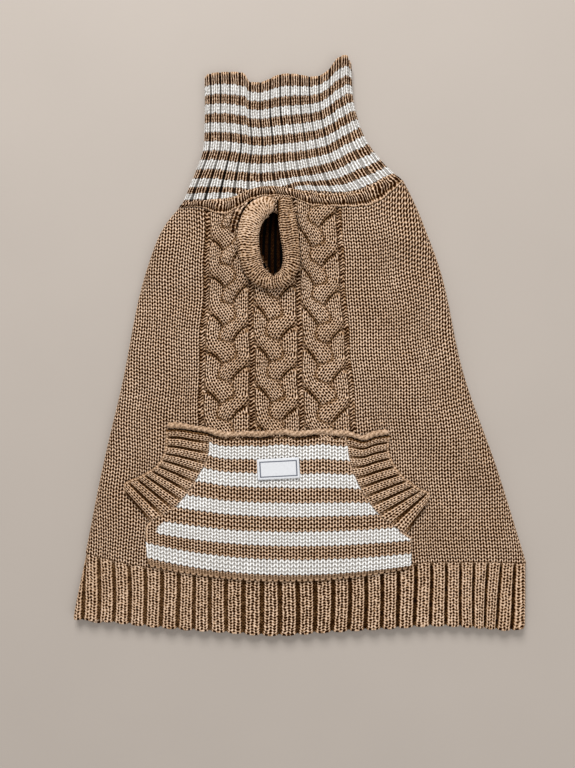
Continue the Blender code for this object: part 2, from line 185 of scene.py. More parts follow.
# Its courses aren't even: (share of the way up, course)
POUCH_SPACING = (
    (0.0, 0.0), (0.035, 3.0), (0.142, 7.0), (0.237, 11.0), (0.333, 15.0), (0.437, 19.0), (0.53, 23.0),
    (0.633, 27.0), (0.732, 31.0), (1.0, 42.0),
)
POUCH_FULLNESS = 2.2  # how far its middle stands off the body
TOP_EASE = 3  # power with which its courses lose the waves of the top edge
SEAM_SHARE = 0.7  # share of the pouch's side that its rib bands are sewn to
BAND_FREE_EDGES = (
    (0.0, -109.8, -68.4, 74.4, -71.6), (0.25, -110.8, -86.0, 74.6, -89.0),
    (0.5, -117.5, -98.6, 84.0, -105.6), (0.75, -131.5, -107.6, 98.5, -117.2),
    (0.92, -142.8, -112.6, 106.8, -121.6), (1.0, -144.2, -119.6, 104.6, -131.0),
)
TOP_EDGE_ROUTE = (
    (-109.0, -66.0), (-99.5, -65.6), (-86.0, -67.7), (-75.0, -69.3), (-67.0, -72.0), (-58.0, -73.2),
    (-42.0, -72.5), (-31.0, -72.8), (-18.0, -71.1), (-10.0, -71.2), (-3.0, -72.5), (8.0, -71.6),
    (19.0, -70.3), (30.0, -71.8), (41.0, -72.5), (52.5, -75.8), (62.0, -72.5), (73.5, -70.9),
)
TOP_EDGE_THICKNESS = 4.6
TOP_EDGE_WALE = 4.6

LABEL = {"middle": (-17.1, -100.9), "width": 34.5, "height": 17.0, "thickness": 0.8, "turn": 3.0}
LABEL_DOWN = 0.3  # share of the way down the pouch where it lies
LABEL_BORDER = {"inset": 2.4, "half_width": 0.5}
LABEL_WEAVE = (0.5, 0.4)  # pitch of its threads across and up

# Soft folds of the worn cloth: (x and y of one end, x and y of the other, height, reach to each side)
FOLDS = (
    (-123.0, 83.0, -49.0, 66.0, 1.6, 13.0), (-128.0, 44.0, -14.0, 34.0, -1.7, 12.0),
    (64.0, -20.0, 148.0, -94.0, 2.2, 17.0), (78.0, -80.0, 156.0, -132.0, -1.5, 15.0),
    (62.0, 14.0, 98.0, 8.0, -1.2, 13.0), (66.0, 93.0, 84.0, 88.0, 1.4, 9.0),
    (70.0, 62.0, 98.0, 66.0, -1.4, 11.0), (-135.0, -2.0, -112.0, -14.0, 1.0, 11.0),
    (-127.0, -40.0, -116.0, -62.0, -1.3, 10.0),
    (-150.0, -62.0, -130.0, -92.0, 1.1, 12.0), (-157.0, -120.0, -136.0, -150.0, 1.2, 12.0),
    (112.0, -140.0, 128.0, -172.0, 1.0, 9.0),
)
# Hollows pressed into the side that it lies on
HOLLOWS = (
    (-120.0, 60.0, -30.0, 84.0, 1.0, 13.0), (20.0, -20.0, 110.0, -62.0, 1.2, 15.0),
    (-110.0, -60.0, -60.0, -120.0, 0.9, 12.0), (60.0, -120.0, 130.0, -150.0, 0.8, 12.0),
)

# How many stitches each piece has
BODY_COURSES = 102
HEM_COURSES = 21
HEM_RIBS = 57
COLLAR_COURSES = 43
COLLAR_COURSE = 2.5
COLLAR_RIBS = 31
BAND_COURSES = 5
BAND_WALES = 86
BAND_WAVES = 33  # waves of the chain of its linking seam, all round
POUCH_COURSES = 42
POUCH_WALES = (-27, 19)  # first and last, counted from the middle of the garment
BELLY_RIBS = 40
BELLY_RIB = 1.1  # height of its ribs over their grooves
CUFF_RIBS = 22
CUFF_RIB = 1.2
HIDDEN_KNIT_SHARE = 0.6  # share of a repeat that the rib fills, on the belly and its cuffs
POCKET_RIBS = 10
POCKET_KNIT_SHARE = 0.82
POCKET_COURSES = 12
COLLAR_STRIPES = (6, COLLAR_COURSES - 4)  # courses in a pair of stripes, and where the top white one starts
POUCH_STRIPES = (8, POUCH_COURSES - 3)

# Colours that stay as they are, in linear light
# Painted shade: brown for the grooves of striped yarn, near black for the deepest shade
PAINTED_SHADE_BROWN = (0.02, 0.01, 0.006, 1.0)
DEEPEST_PAINTED_SHADE = (0.002, 0.002, 0.002, 1.0)
LABEL_WEFT = (0.40, 0.42, 0.46, 1.0)
ROOM = (1.0, 0.98, 0.96, 1.0)

# The stage, in metres. Lights: (name, place, size, power in watts)
LIGHTS = (("window", (-0.25, 1.5, 1.25), 0.9, 46.0), ("fill", (0.9, -0.9, 1.6), 1.2, 9.5))
ROOM_STRENGTH = 0.6
FLOOR_SIZE = 12.0
VIEW_MIDDLE = (-0.0097, -0.0317, 0.009)
VIEW_LENGTH = 0.6328  # how much of Y the camera sees at that height

# Grid corners in each stitch of plain knit, and in each rib: (on the rib, in the groove)
PER_WALE = 4
PER_COURSE = 4
PER_HEM_COURSE = 3
PER_HEM_RIB = (10, 5)
PER_COLLAR_RIB = (8, 5)
PER_POCKET_RIB = (8, 5)
PER_BELLY_RIB = 6
PER_CUFF_RIB = 8
PER_BAND_WALE = 4
PER_POUCH_WALE = 6

# Grid columns and rows of the other pieces
INNER_ROWS = 24
END_FACETS = 3
CABLE_COLUMNS = 228
CABLE_ROWS = (40, 330)  # behind the pocket and above it
CABLE_SHOWN = 0.34  # share of the way up from which the cables show
BELLY_ROWS = 60
CUFF_ROWS = 16
BAND_ROWS = 22
TRIM_GRID = (320, 60)
TOP_EDGE_GRID = (240, 16)
LABEL_GRID = (34, 16)


def length(label, text, millimetres):
    """Make a length property from a default in millimetres."""
    return bpy.props.FloatProperty(
        name=label, description=text, default=millimetres * MM, min=0.0, precision=4, unit="LENGTH",
        subtype="DISTANCE",
    )


def colour(label, text, red, green, blue):
    """Make a colour property from a default in linear light."""
    return bpy.props.FloatVectorProperty(
        name=label, description=text, default=(red, green, blue), size=3, min=0.0, max=1.0, subtype="COLOR",
    )


class SweaterSizes(bpy.types.PropertyGroup):
    """Sizes of the knit that a user would change."""

    wale: length("Wale", "Width of a column of plain stitches", 4.3)
    pouch_wale: length("Pouch wale", "Width of a column of stitches on the pocket's pouch", 4.84)
    yarn: length("Yarn relief", "Height of the yarn over the holes between stitches", 1.1)
    hem_rib: length("Hem rib", "Height of the hem's ribs over its grooves", 2.0)
    collar_rib: length("Collar rib", "Height of the collar's ribs over its grooves", 1.9)
    pocket_rib: length("Pocket rib", "Height of the ribs on the pocket's bands over their grooves", 1.7)
    strand: length("Cable strand", "Height of a cable's strand over the panel", 2.9)
    crossing: length("Cable crossing", "How far a strand rises where it crosses over another", 1.7)
    roll: length("Leash hole roll", "Height of the roll round the leash hole", 9.0)
    puff: length("Neck band puff", "How far the neck band stands proud of the body", 1.7)


class SweaterColours(bpy.types.PropertyGroup):
    """Colours of the yarns, the label and the floor, in linear light."""

    tan: colour("Tan yarn", "Tan yarn in full light", 0.76, 0.59, 0.455)
    # Painted half shade: tan yarn as it looks on the shaded flanks of its stitches
    tan_flank_shade: colour("Tan flank", "Tan yarn on the flanks of its stitches", 0.67, 0.32, 0.085)
    tan_shade: colour("Tan shade", "Tan yarn down in the holes", 0.018, 0.005, 0.001)
    white: colour("White yarn", "White yarn in full light", 0.99, 0.985, 0.97)
    white_shade: colour("White shade", "White yarn down in the holes", 0.31, 0.29, 0.265)
    label: colour("Label", "Woven label", 0.62, 0.63, 0.65)
    label_border: colour("Label border", "Plain border woven into the label", 0.06, 0.07, 0.10)
    floor: colour("Floor", "Plain floor", 0.35, 0.31, 0.275)


def in_millimetres(name):
    """Read one of the sizes."""
    return getattr(bpy.context.scene.sweater_sizes, name) / MM


def smooth(value, start, end):
    """Ease from 0 at start to 1 at end."""
    share = np.clip((value - start) / (end - start), 0, 1)
    return share * share * (3 - 2 * share)


def near(value, middle, reach):
    """1 where a value is at the middle, fading out to both sides."""
    return np.exp(-((value - middle) / reach) ** 2)


def through(table, at, column=1):
    """Read a smooth curve through the rows of a table, at values of its first column."""
    rows = np.array(table, float)
    last = len(rows) - 1
    at = np.clip(at, rows[0, 0], rows[-1, 0])
    low = np.clip(np.searchsorted(rows[:, 0], at, side="right") - 1, 0, last - 1)
    start, end = rows[low], rows[low + 1]
    before, after = rows[np.maximum(low - 1, 0)], rows[np.minimum(low + 2, last)]
    step = end[..., 0] - start[..., 0]
    share = (at - start[..., 0]) / step
    rise_in = (end[..., column] - before[..., column]) / (end[..., 0] - before[..., 0]) * step
    rise_out = (after[..., column] - start[..., column]) / (after[..., 0] - start[..., 0]) * step
    change = end[..., column] - start[..., column]
    bend = share * (1 - share)
    ease = share * share * (3 - 2 * share)
    return start[..., column] + ease * change + bend * ((1 - share) * rise_in - share * rise_out)


def moved(table, by):
    """Move an edge up by so much."""
    return tuple((x, y + by) for x, y in table)


def folds(table, x, y):
    """Height that the soft folds of a table add at a place."""
    height = np.zeros(np.shape(x))
    for x0, y0, x1, y1, rise, reach in table:
        run = math.hypot(x1 - x0, y1 - y0)
        ahead = ((x - x0) * (x1 - x0) + (y - y0) * (y1 - y0)) / run
        beside = ((x - x0) * (y1 - y0) - (y - y0) * (x1 - x0)) / run
        past = np.maximum(0, np.maximum(-ahead, ahead - run)) / (1.4 * reach)
        height = height + rise * np.exp(-(beside / reach) ** 2 - past ** 2)
    return height


def drift(x, y):
    """How far the stitches at a place have been pulled sideways."""
    wide = 0.6 * np.sin(x / 11.0 + y / 23.0) + 0.5 * np.sin(y / 9.0 - x / 31.0 + 1.0)
    return wide + 0.3 * np.sin(x / 5.3 + 2.0)


class Tube:
    """A flattened tube of the garment, between a lower and an upper course."""

    quarter = math.pi * FOLD / 2

    def __init__(self, sides, lower, upper, loose=1.0):
        self.sides = sides
        self.lower = lower
        self.upper = upper
        self.loose = loose

    def left(self, rise):
        """X where the flat part starts, beside the left fold."""
        return through(self.sides, rise, 1) + FOLD

    def flat(self, rise):
        """Width of the flat part between the two folds."""
        return through(self.sides, rise, 2) - FOLD - self.left(rise)

    def around(self, rise):
        """Distance round the outside."""
        return 2 * self.flat(rise) + 4 * self.quarter

    def along(self, x, rise):
        """Distance round the outside, from the left fold's outermost line to an X on the upper layer."""
        return self.quarter + x - self.left(rise)

    def skin(self, along, rise):
        """Share across the flat part, and the turn from straight up, at a distance round the outside."""
        flat = self.flat(rise)
        along = along % self.around(rise)
        past_top = along - self.quarter - flat
        past_fold = past_top - 2 * self.quarter
        past_under = past_fold - flat
        where = [along < self.quarter, past_top < 0, past_fold < 0, past_under < 0]
        share = np.select(where, [0, 1 + past_top / flat, 1, 1 - past_fold / flat], 0)
        turn = np.select(
            where, [along / FOLD - math.pi / 2, 0, past_top / FOLD, math.pi], math.pi + past_under / FOLD
        )
        return share, turn

    def top_x(self, share, turn):
        """X on the upper course."""
        return self.left(1.0) + share * self.flat(1.0) + np.sin(turn) * FOLD

    def place(self, along, rise, height, past=0.0):
        """Points that stand a height off the outer skin, and past the tube's end."""
        share, turn = self.skin(along, rise)
        x, y = self.plan(share, turn, rise)
        upper = smooth(np.cos(turn), 0, 1)
        share, turn = self.skin(along + self.loose * drift(x, y) * upper, rise)
        x, y = self.plan(share, turn, rise)
        y = y + 0.8 * np.sin(x / 17.0 + y / 29.0) * np.sin(math.pi * rise) * self.loose * upper
        x = x + np.sin(turn) * height
        z = FOLD + np.cos(turn) * (FOLD + height)
        z = z + folds(FOLDS, x, y) * upper + folds(HOLLOWS, x, y) * smooth(np.cos(turn), 0, -1)
        return np.stack([x, y + past, z], -1)

    def plan(self, share, turn, rise):
        """X and Y on the outer skin."""
        outward = np.sin(turn) * FOLD
        low = through(self.lower, self.left(0.0) + share * self.flat(0.0) + outward)
        high = through(self.upper, self.top_x(share, turn))
        return self.left(rise) + share * self.flat(rise) + outward, low + rise * (high - low)


HEM = Tube(HEM_SIDES, moved(HEM_EDGE, WALL / 2), HEM_TOP, loose=0.5)
BODY = Tube(BODY_SIDES, HEM_TOP, NECK_SEAM)
BAND = Tube(BAND_SIDES, NECK_SEAM, BAND_TOP, loose=0.5)
COLLAR = Tube(COLLAR_SIDES, BAND_TOP, moved(COLLAR_EDGE, -WALL / 2), loose=0.5)


class Wall:
    """Rows of grid corners round a knitted wall: up its outer skin, over its end, down inside and back."""

    def __init__(self, rises, inner=INNER_ROWS, low_end=SEAM / 2, high_end=SEAM / 2):
        turns = np.linspace(0, math.pi, END_FACETS + 2)[1:-1]
        deep = WALL * (1 - np.cos(turns)) / 2
        still = np.zeros(END_FACETS)
        self.inner = inner
        self.rises = np.concatenate([rises, still + 1, np.linspace(1, 0, inner + 1), still, [0]])
        self.depths = np.concatenate([0 * rises, deep, np.full(inner + 1, WALL), deep[::-1], [0]])
        self.pasts = np.concatenate([
            0 * rises, high_end * np.sin(turns), np.zeros(inner + 1), -low_end * np.sin(turns), [0]
        ])
        self.rows = len(self.rises) - 1

    def at(self, row, sunk):
        """Share of the way up, depth and distance past the end.

        A sunk corner lies on the inner skin's corners.
        """
        rise = np.where(sunk, np.rint(self.rises[row] * self.inner) / self.inner, self.rises[row])
        return rise, np.where(sunk, WALL, self.depths[row]), np.where(sunk, 0, self.pasts[row])


class Roll:
    """A rolled edge that lies on a panel, along a route of (across, up, width)."""

    def __init__(self, route, count, turns, height, tips):
        rows = np.array([(number, *stop) for number, stop in enumerate(route)], float)
        stops = np.linspace(0, len(route) - 1, count + 1)
        self.turns = turns
        self.height = height
        self.middle = np.stack([through(rows, stops, 1), through(rows, stops, 2)], -1)
        self.run = np.concatenate([[0], np.cumsum(np.hypot(*np.diff(self.middle, axis=0).T))])
        ahead = np.gradient(self.middle, axis=0)
        ahead /= np.hypot(*ahead.T)[:, None]
        self.beside = np.stack([ahead[:, 1], -ahead[:, 0]], -1)
        from_tip = np.minimum(self.run / tips[0], (self.run[-1] - self.run) / tips[1])
        self.blunt = np.sqrt(1 - (1 - np.clip(from_tip, 0.03, 1)) ** 2)
        self.widths = through(rows, stops, 3) * self.blunt

    def place(self, column, row, sunk, swell):
        """Points on the roll's skin, swollen by so much, and the turn round it."""
        turn = 2 * math.pi * row / self.turns
        size = np.where(sunk, 0, 1)
        out = size * (self.widths[column] / 2 + swell) * np.cos(turn)
        x = self.middle[column, 0] + out * self.beside[column, 0]
        y = self.middle[column, 1] + out * self.beside[column, 1]
        up = size * (self.height / 2 * (0.35 + 0.65 * self.blunt[column]) + swell) * np.sin(turn)
        z = 2 * FOLD + SEAM + self.height / 2 + up + folds(FOLDS, x, y)
        return np.stack([x, y, z], -1), turn


def even(rows):
    """Even steps from 0 to 1."""
    return np.linspace(0, 1, rows + 1)


def outer(depth):
    """1 on the outer skin and 0 on the inner skin."""
    return 1 - depth / WALL


def in_wall(height, depth):
    """Height off the outer skin at a depth in the wall, where the outer skin alone is shaped."""
    return height * outer(depth) - depth


def lined(painted_shade, depth):
    """Painted shade, with the whole inner skin in full painted shade."""
    return np.maximum(painted_shade, 1 - outer(depth))


def stitch_height(wale, course, stretch=0.0):
    """Height of plain knit at a place in wales and courses: 0 on the yarn and less in its holes.

    Where stretch is 1, the holes of a column run together into a line.
    """
    to_point = 1 - np.abs(2 * (wale % 1) - 1)
    lean = (1 + np.cos(math.pi * to_point)) / 4
    between = np.abs(2 * ((course - lean) % 1) - 1)
    column = (1 + np.cos(4 * math.pi * wale)) / 2
    open_part = between ** 0.9 * (1 - stretch) + 0.9 * stretch
    holes = column ** 0.7 * open_part + 0.2 * between ** 3 * (1 - stretch)
    return -in_millimetres("yarn") * np.clip(holes, 0, 1)


def rib(place, knit_share):
    """Two-by-two rib at a place in repeats: height of the rib, the wale, and painted shade, which is 1 down
    between its ribs.
    """
    place = place % 1
    wale = np.where(place < knit_share, 2 * place / knit_share, 2 + (place - knit_share) / (1 - knit_share))
    off = np.abs((place - knit_share / 2 + 0.5) % 1 - 0.5) / (knit_share / 2)
    height = np.clip(1 - off ** 3.0, 0, 1) ** 0.6
    return height, wale, 1 - smooth(height, 0.0, 0.4)


def outer_legs(wale):
    """1 on the outermost leg on each side of a rib, where the yarn runs on from stitch to stitch."""
    return near(np.abs(wale - 1), 0.74, 0.15)


def rib_place(column, columns, knit_share):
    """Place in repeats of a grid column, where columns are how many lie on each rib and between two ribs."""
    knit_columns, purl_columns = columns
    number, step = np.divmod(column, knit_columns + purl_columns)
    on_rib = knit_share * step / knit_columns
    in_groove = knit_share + (1 - knit_share) * (step - knit_columns) / purl_columns
    return number + np.where(step < knit_columns, on_rib, in_groove)


def turn_of_strand():
    """One turn of a strand in fine steps: its share, across, slope and the length of yarn run so far."""
    steps = 400
    turn = np.linspace(0, 1, steps + 1)
    across = STRAND_REACH * through(STRAND_ACROSS, turn)
    slope = np.gradient(across, PLAIT_TURN / steps)
    run = np.concatenate([[0], np.cumsum(np.sqrt(1 + slope[1:] ** 2) * PLAIT_TURN / steps)])
    return turn, across, slope, run


def plait(across, down):
    """A three-strand plait: height, wale, course, how far it slants, and its painted shade: shadow lines
    where strands cross, darkest below the strand on top, and shade on the strands' flanks.
    """
    steps, middles, slopes, runs = turn_of_strand()
    turns = down / PLAIT_TURN + np.arange(3).reshape(3, *[1] * down.ndim) / 3
    turn = turns % 1
    slope = np.interp(turn, steps, slopes)
    lean = np.sqrt(1 + slope ** 2)
    beside = (across - np.interp(turn, steps, middles)) / lean
    off = beside / STRAND_HALF
    over = through(STRAND_OVER, turn)
    top = in_millimetres("crossing") * over + in_millimetres("strand") * (1 - np.abs(off) ** 2.6)
    run = np.floor(turns) * runs[-1] + np.interp(turn, steps, runs) + slope * beside
    # The side of a slanting strand lower down the sweater, facing away from the light.
    lower_side = smooth(-off * np.sign(slope), -0.3, 0.5) * smooth(np.abs(slope), 0.1, 0.5)
    order = np.argsort(top, axis=0)

    def pick(values, rank):
        return np.take_along_axis(values, order[rank:rank + 1], axis=0)[0]

    height, under = pick(top, 2), pick(top, 1)
    # Painted shadow: dark lines where strands meet, strongest on the lower side of the strand on top, a wider
    # soft shadow below it, and painted shade on the strands' flanks.
    lower = np.where(pick(over, 2) > pick(over, 1), pick(lower_side, 2), pick(lower_side, 1))
    crease_shade = np.clip(0.45 + 0.6 * lower, 0, 1) * (1 - smooth(height - under, 0.0, 1.5))
    shade = 0.3 * lower * (1 - smooth(height - under, 0.0, 3.2))
    flank = 0.18 * np.clip(np.abs(pick(off, 2)), 0, 1) ** 5
    painted_shade = np.maximum(np.maximum(crease_shade, shade), flank)
    slant = smooth(np.abs(pick(slope, 2)), 0.35, 0.9)
    wale = pick(beside, 2) / STRAND_WALE + 0.5
    return height, wale, -pick(run, 2) / STRAND_COURSE, slant, painted_shade


class Graph:
    """The nodes of one material."""

    def __init__(self, name):
        self.material = bpy.data.materials.new(name)
        self.material.use_nodes = True
        self.tree = self.material.node_tree
        self.shader = self.tree.nodes["Principled BSDF"]

    def feed(self, socket, value):
        """Link or set one socket."""
        if isinstance(value, Number):
            value = value.socket
        if isinstance(value, bpy.types.NodeSocket):
            self.tree.links.new(value, socket)
        else:
            socket.default_value = value

    def node(self, kind, settings=None, values=None):
        """Add a node with its settings, and the values or links of its sockets."""
        node = self.tree.nodes.new(kind)
        for name, value in (settings or {}).items():
            setattr(node, name, value)
        for name, value in (values or {}).items():
            self.feed(node.inputs[name], value)
        return node

    def number(self, node, output=0):
        """Wrap a node's output for arithmetic."""
        return Number(self, node.outputs[output])

    def attribute(self, name):
        """Read one of the mesh's own numbers."""
        return self.number(self.node("ShaderNodeAttribute", {"attribute_name": name}), "Fac")

    def noise(self, scale, detail=2.0):
        """Soft noise over the piece, with so many lumps to the metre."""
        places = self.node("ShaderNodeTexCoord").outputs["Object"]
        values = {"Vector": places, "Scale": scale, "Detail": detail}
        return self.number(self.node("ShaderNodeTexNoise", None, values), "Fac")

    def stitches(self):
        """Place in wales and in courses."""
        places = self.node("ShaderNodeUVMap", {"uv_map": "Stitches"}).outputs["UV"]
        split = self.node("ShaderNodeSeparateXYZ", None, {"Vector": places})
        return self.number(split, "X"), self.number(split, "Y")

    def mix(self, factor, first, second):
        """Mix two colours."""
        node = self.node("ShaderNodeMix", {"data_type": "RGBA"}, {0: factor, 6: first, 7: second})
        return node.outputs[2]

    def finish(self, shade, relief, deep, strength, roughness, gloss=0.25):
        """Feed the shader its colour, its bump and its constants."""
        self.feed(self.shader.inputs["Base Color"], shade)
        bump = self.node("ShaderNodeBump", None, {"Strength": strength, "Distance": deep, "Height": relief})
        self.feed(self.shader.inputs["Normal"], bump.outputs["Normal"])
        self.feed(self.shader.inputs["Roughness"], roughness)
        self.feed(self.shader.inputs["Specular IOR Level"], gloss)
        return self.material


class Number:
    """A number in a material. Arithmetic on it adds Math nodes."""

    def __init__(self, graph, socket):
        self.graph = graph
        self.socket = socket

    def maths(self, operation, *values, clamp=False):
        """Add a Math node."""
        settings = {"operation": operation, "use_clamp": clamp}
        return self.graph.number(self.graph.node("ShaderNodeMath", settings, dict(enumerate(values))))

    def __add__(self, other):
        return self.maths("ADD", self, other)

    __radd__ = __add__

    def __sub__(self, other):
        return self.maths("SUBTRACT", self, other)

    def __rsub__(self, other):
        return self.maths("SUBTRACT", other, self)

    def __mul__(self, other):
        return self.maths("MULTIPLY", self, other)

    __rmul__ = __mul__

    def __truediv__(self, other):
        return self.maths("DIVIDE", self, other)

    def __pow__(self, other):
        return self.maths("POWER", self, other)

    def __abs__(self):
        return self.maths("ABSOLUTE", self)

    def fraction(self):
        """The part after the point."""
        return self.maths("FRACT", self)

    def cosine(self):
        """Cosine of an angle in radians."""
        return self.maths("COSINE", self)

    def less(self, other):
        """1 where it is less than another number."""
        return self.maths("LESS_THAN", self, other)

    def clamped(self):
        """Kept from 0 to 1."""
        return self.maths("ADD", self, 0.0, clamp=True)

    def over(self, other):
        """The greater of two numbers."""
        return self.maths("MAXIMUM", self, other)


def opaque(shade):
    """A colour property as the four numbers that a socket takes."""
    return (*shade, 1.0)


def yarn_material(name, uneven=1.0, stripes=None):
    """Material of knitted cotton, whose stitches are more or less uneven.

    stripes is (courses in a pair of stripes, course where a white one starts).
    """
    colours = bpy.context.scene.sweater_colours
    graph = Graph(name)
    wale, course = graph.stitches()
    wale = wale + (graph.noise(270.0, 1.0) - 0.5) * (0.45 * uneven)
    course = course + (graph.noise(350.0, 1.0) - 0.5) * (1.0 * uneven)
    painted_shade = graph.attribute("painted_shade")
    painted_shade = painted_shade + (graph.noise(700.0, 1.0) - 0.5) * painted_shade * (1 - painted_shade) * 2.5
    stretch = graph.attribute("stretch")
    closed = graph.attribute("closed")
    to_point = 1 - abs(2 * wale.fraction() - 1)
    leg = course - ((to_point * math.pi).cosine() + 1) * 0.25
    between = abs(2 * leg.fraction() - 1)
    column = ((wale * (4 * math.pi)).cosine() + 1) * 0.5
    open_part = between * (1 - stretch) + stretch * 0.8
    holes = column.clamped() * open_part * 3.7 + between ** 3 * (1 - stretch) * 0.6 + column * 0.15
    holes = holes * (1 - closed)
    patch = graph.noise(420.0)
    broad = graph.noise(28.0)
    fibre = graph.noise(1500.0, 3.0)
    spread = 1.8 + 2.0 * uneven
    thin = (patch * spread + (1 - spread / 2)).over(0.2)
    # Painted shade: the yarn darkens in the holes between its stitches and by its painted shade attribute.
    light = ((1 - holes * thin).clamped() * (1 - painted_shade)) ** 1.5 * (1 - closed * 0.22)
    ply = ((leg * 3.0 + to_point * 1.2) * (2 * math.pi)).cosine()
    light = (light * (0.82 + broad * 0.36) * (0.8 + fibre * 0.4 + ply * 0.06)).clamped()
    if stripes:
        pair, first = stripes
        white = ((first - leg) / pair).fraction().less(0.499) * leg.less(first)
        white = white * (1 - graph.attribute("plain"))
        shade = graph.mix(white, opaque(colours.tan_shade), opaque(colours.white_shade))
        flank = graph.mix(white, opaque(colours.tan_flank_shade), opaque(colours.white))
        bright = graph.mix(white, opaque(colours.tan), opaque(colours.white))
    else:
        shade, flank, bright = opaque(colours.tan_shade), opaque(colours.tan_flank_shade), opaque(colours.tan)
    # Painted light and shade: the colour runs from the shade in the holes through the half shade on the
    # stitches' flanks to full light.
    lit = graph.mix(light, shade, graph.mix(light, flank, bright))
    # Painted shade: grooves of striped yarn darken to brown, less on white, and the deepest painted shade
    # goes near black.
    if stripes:
        lit = graph.mix(painted_shade * (0.9 - white * 0.7), lit, PAINTED_SHADE_BROWN)
    shade = graph.mix(painted_shade ** 8, lit, DEEPEST_PAINTED_SHADE)
    relief = fibre * 0.4 + ply * 0.15 - holes * 0.6
    return graph.finish(shade, relief, 0.5 * MM, 0.6, 0.95, gloss=0.0)


def label_material():
    """Material of the woven label: fine satin with a plain border."""
    colours = bpy.context.scene.sweater_colours
    graph = Graph("woven label")
    across, up = graph.stitches()
    threads = [2 * math.pi / pitch for pitch in LABEL_WEAVE]
    weave = (across * threads[0]).cosine() * (up * threads[1]).cosine() * 0.5 + 0.5
    half_width, half_height = (LABEL[side] / 2 - LABEL_BORDER["inset"] for side in ("width", "height"))
    edge = abs((abs(across) - half_width).over(abs(up) - half_height))
    cloth = graph.mix(weave * 0.3, opaque(colours.label), LABEL_WEFT)
    border = edge.less(LABEL_BORDER["half_width"])
    shade = graph.mix(border * 0.9, cloth, opaque(colours.label_border))
    return graph.finish(shade, weave, 0.2 * MM, 0.4, 0.6)


def floor_material():
    """Material of the plain floor."""
    graph = Graph("pale floor")
    shade = opaque(bpy.context.scene.sweater_colours.floor)
    paler = (*(1.08 * value for value in shade[:3]), 1.0)
    speckle = graph.noise(9.0, 4.0)
    return graph.finish(graph.mix(speckle, shade, paler), graph.noise(400.0), 0.2 * MM, 0.2, 0.7)


def new_knit(name, columns, rows, shape, ring=True):
    """Add a grid, move its corners where shape puts them, and sew up what then meets.

    shape takes the column and row of each corner, and gives its point, its place in wales and courses, and
    how it looks there, each from 0 to 1: "groove" is how much painted shade it has, most down between
    ribs, in creases and on the inner skin, "stretch" how far the holes of a column run together, "closed" how
    far they have closed up and "plain" how far its stripes are left out. Where the columns don't run in a
    ring, a sunk one on each side goes down to the inner skin.
    """
    edge = 0 if ring else 1
    bpy.ops.object.select_all(action="DESELECT")
    bpy.ops.mesh.primitive_grid_add(x_subdivisions=columns + 2 * edge, y_subdivisions=rows, size=1.0)
    piece = bpy.context.active_object
    piece.name = name
    mesh = piece.data
    mesh.name = name
    corners = np.empty(3 * len(mesh.vertices))
    mesh.vertices.foreach_get("co", corners)
    corners = corners.reshape(-1, 3)
    column = np.rint((corners[:, 0] + 0.5) * (columns + 2 * edge)).astype(int) - edge
    row = np.rint((corners[:, 1] + 0.5) * rows).astype(int)
    sunk = (column < 0) | (column > columns)
    points, wale, course, looks = shape(np.clip(column, 0, columns), row, sunk)
    mesh.vertices.foreach_set("co", (points * MM).ravel())
    loops = np.empty(len(mesh.loops), int)
    mesh.loops.foreach_get("vertex_index", loops)
    mesh.uv_layers[0].name = "Stitches"
    mesh.uv_layers["Stitches"].data.foreach_set("uv", np.stack([wale, course], -1)[loops].ravel())
    for attribute in ("painted_shade", "stretch", "closed", "plain"):
        values = np.clip(looks.get(attribute, 0) + np.zeros(len(column)), 0, 1)
        mesh.attributes.new(attribute, "FLOAT", "POINT").data.foreach_set("value", values)
    bpy.ops.object.mode_set(mode="EDIT")
    bpy.ops.mesh.select_all(action="SELECT")
    bpy.ops.mesh.remove_doubles(threshold=0.01 * MM)
    bpy.ops.mesh.normals_make_consistent(inside=False)
    bpy.ops.object.mode_set(mode="OBJECT")
    mesh.shade_smooth()
    return piece


def dress(piece, node, material):
    """Give a finished piece its material and its place in the frame."""
    piece.data.materials.clear()
    piece.data.materials.append(material)
    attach(piece, "root")
    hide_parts(node)


def cut_oval(piece, middle, width, tall, bottom, top):
    """Cut an upright oval hole through a piece."""
    bpy.ops.object.select_all(action="DESELECT")
    bpy.ops.mesh.primitive_cylinder_add(
        vertices=64, radius=MM / 2, depth=(top - bottom) * MM, calc_uvs=False,
        location=(middle[0] * MM, middle[1] * MM, (bottom + top) / 2 * MM),
    )
    tool = bpy.context.active_object
    tool.scale = (width, tall, 1.0)
    hole = piece.modifiers.new("Hole", "BOOLEAN")
    hole.operation = "DIFFERENCE"
    hole.object = tool
    bpy.context.view_layer.objects.active = piece
    bpy.ops.object.modifier_apply(modifier=hole.name)
    bpy.data.objects.remove(tool)


def knit_side(side):
    """Knit a plain side of the back, from the cables' outer gutter round the fold to the belly seam."""
    wall = Wall(even(BODY_COURSES * PER_COURSE))
    wale_width = in_millimetres("wale")
    sign, gutter = (-1, 1) if side == "left" else (1, 2)

    def seam(rise):
        return BODY.along(through(CABLE_GUTTERS, rise, gutter) + sign * GUTTER / 2, rise)

    def reach(rise):
        flat = BODY.flat(rise)
        to_under = seam(rise) + BODY.quarter if side == "left" else flat + 3 * BODY.quarter - seam(rise)
        return to_under + UNDERLAP * flat - SEAM / 2

    widths = reach(even(50))
    columns = math.ceil(widths.max() / wale_width * PER_WALE)

    def shape(column, row, sunk):
        rise, depth, past = wall.at(row, sunk)
        distance = np.minimum(column * wale_width / PER_WALE, reach(rise))
        wale = distance / wale_width
        course = rise * BODY_COURSES
        height = in_wall(stitch_height(wale, course), depth)
        points = BODY.place(seam(rise) + sign * distance, rise, height, past)
        # The inner skin is in full painted shade.
        return points, wale, course, {"painted_shade": 1 - outer(depth)}

    piece = new_knit(f"side_panel_{side}", columns, wall.rows, shape, ring=False)
    dress(piece, "back_panel", yarn_material(f"{side} side tan cotton", uneven=0.3))
    size = (widths.max() * MM, 0.295)
    area = widths.mean() / widths.max() * size[0] * size[1]


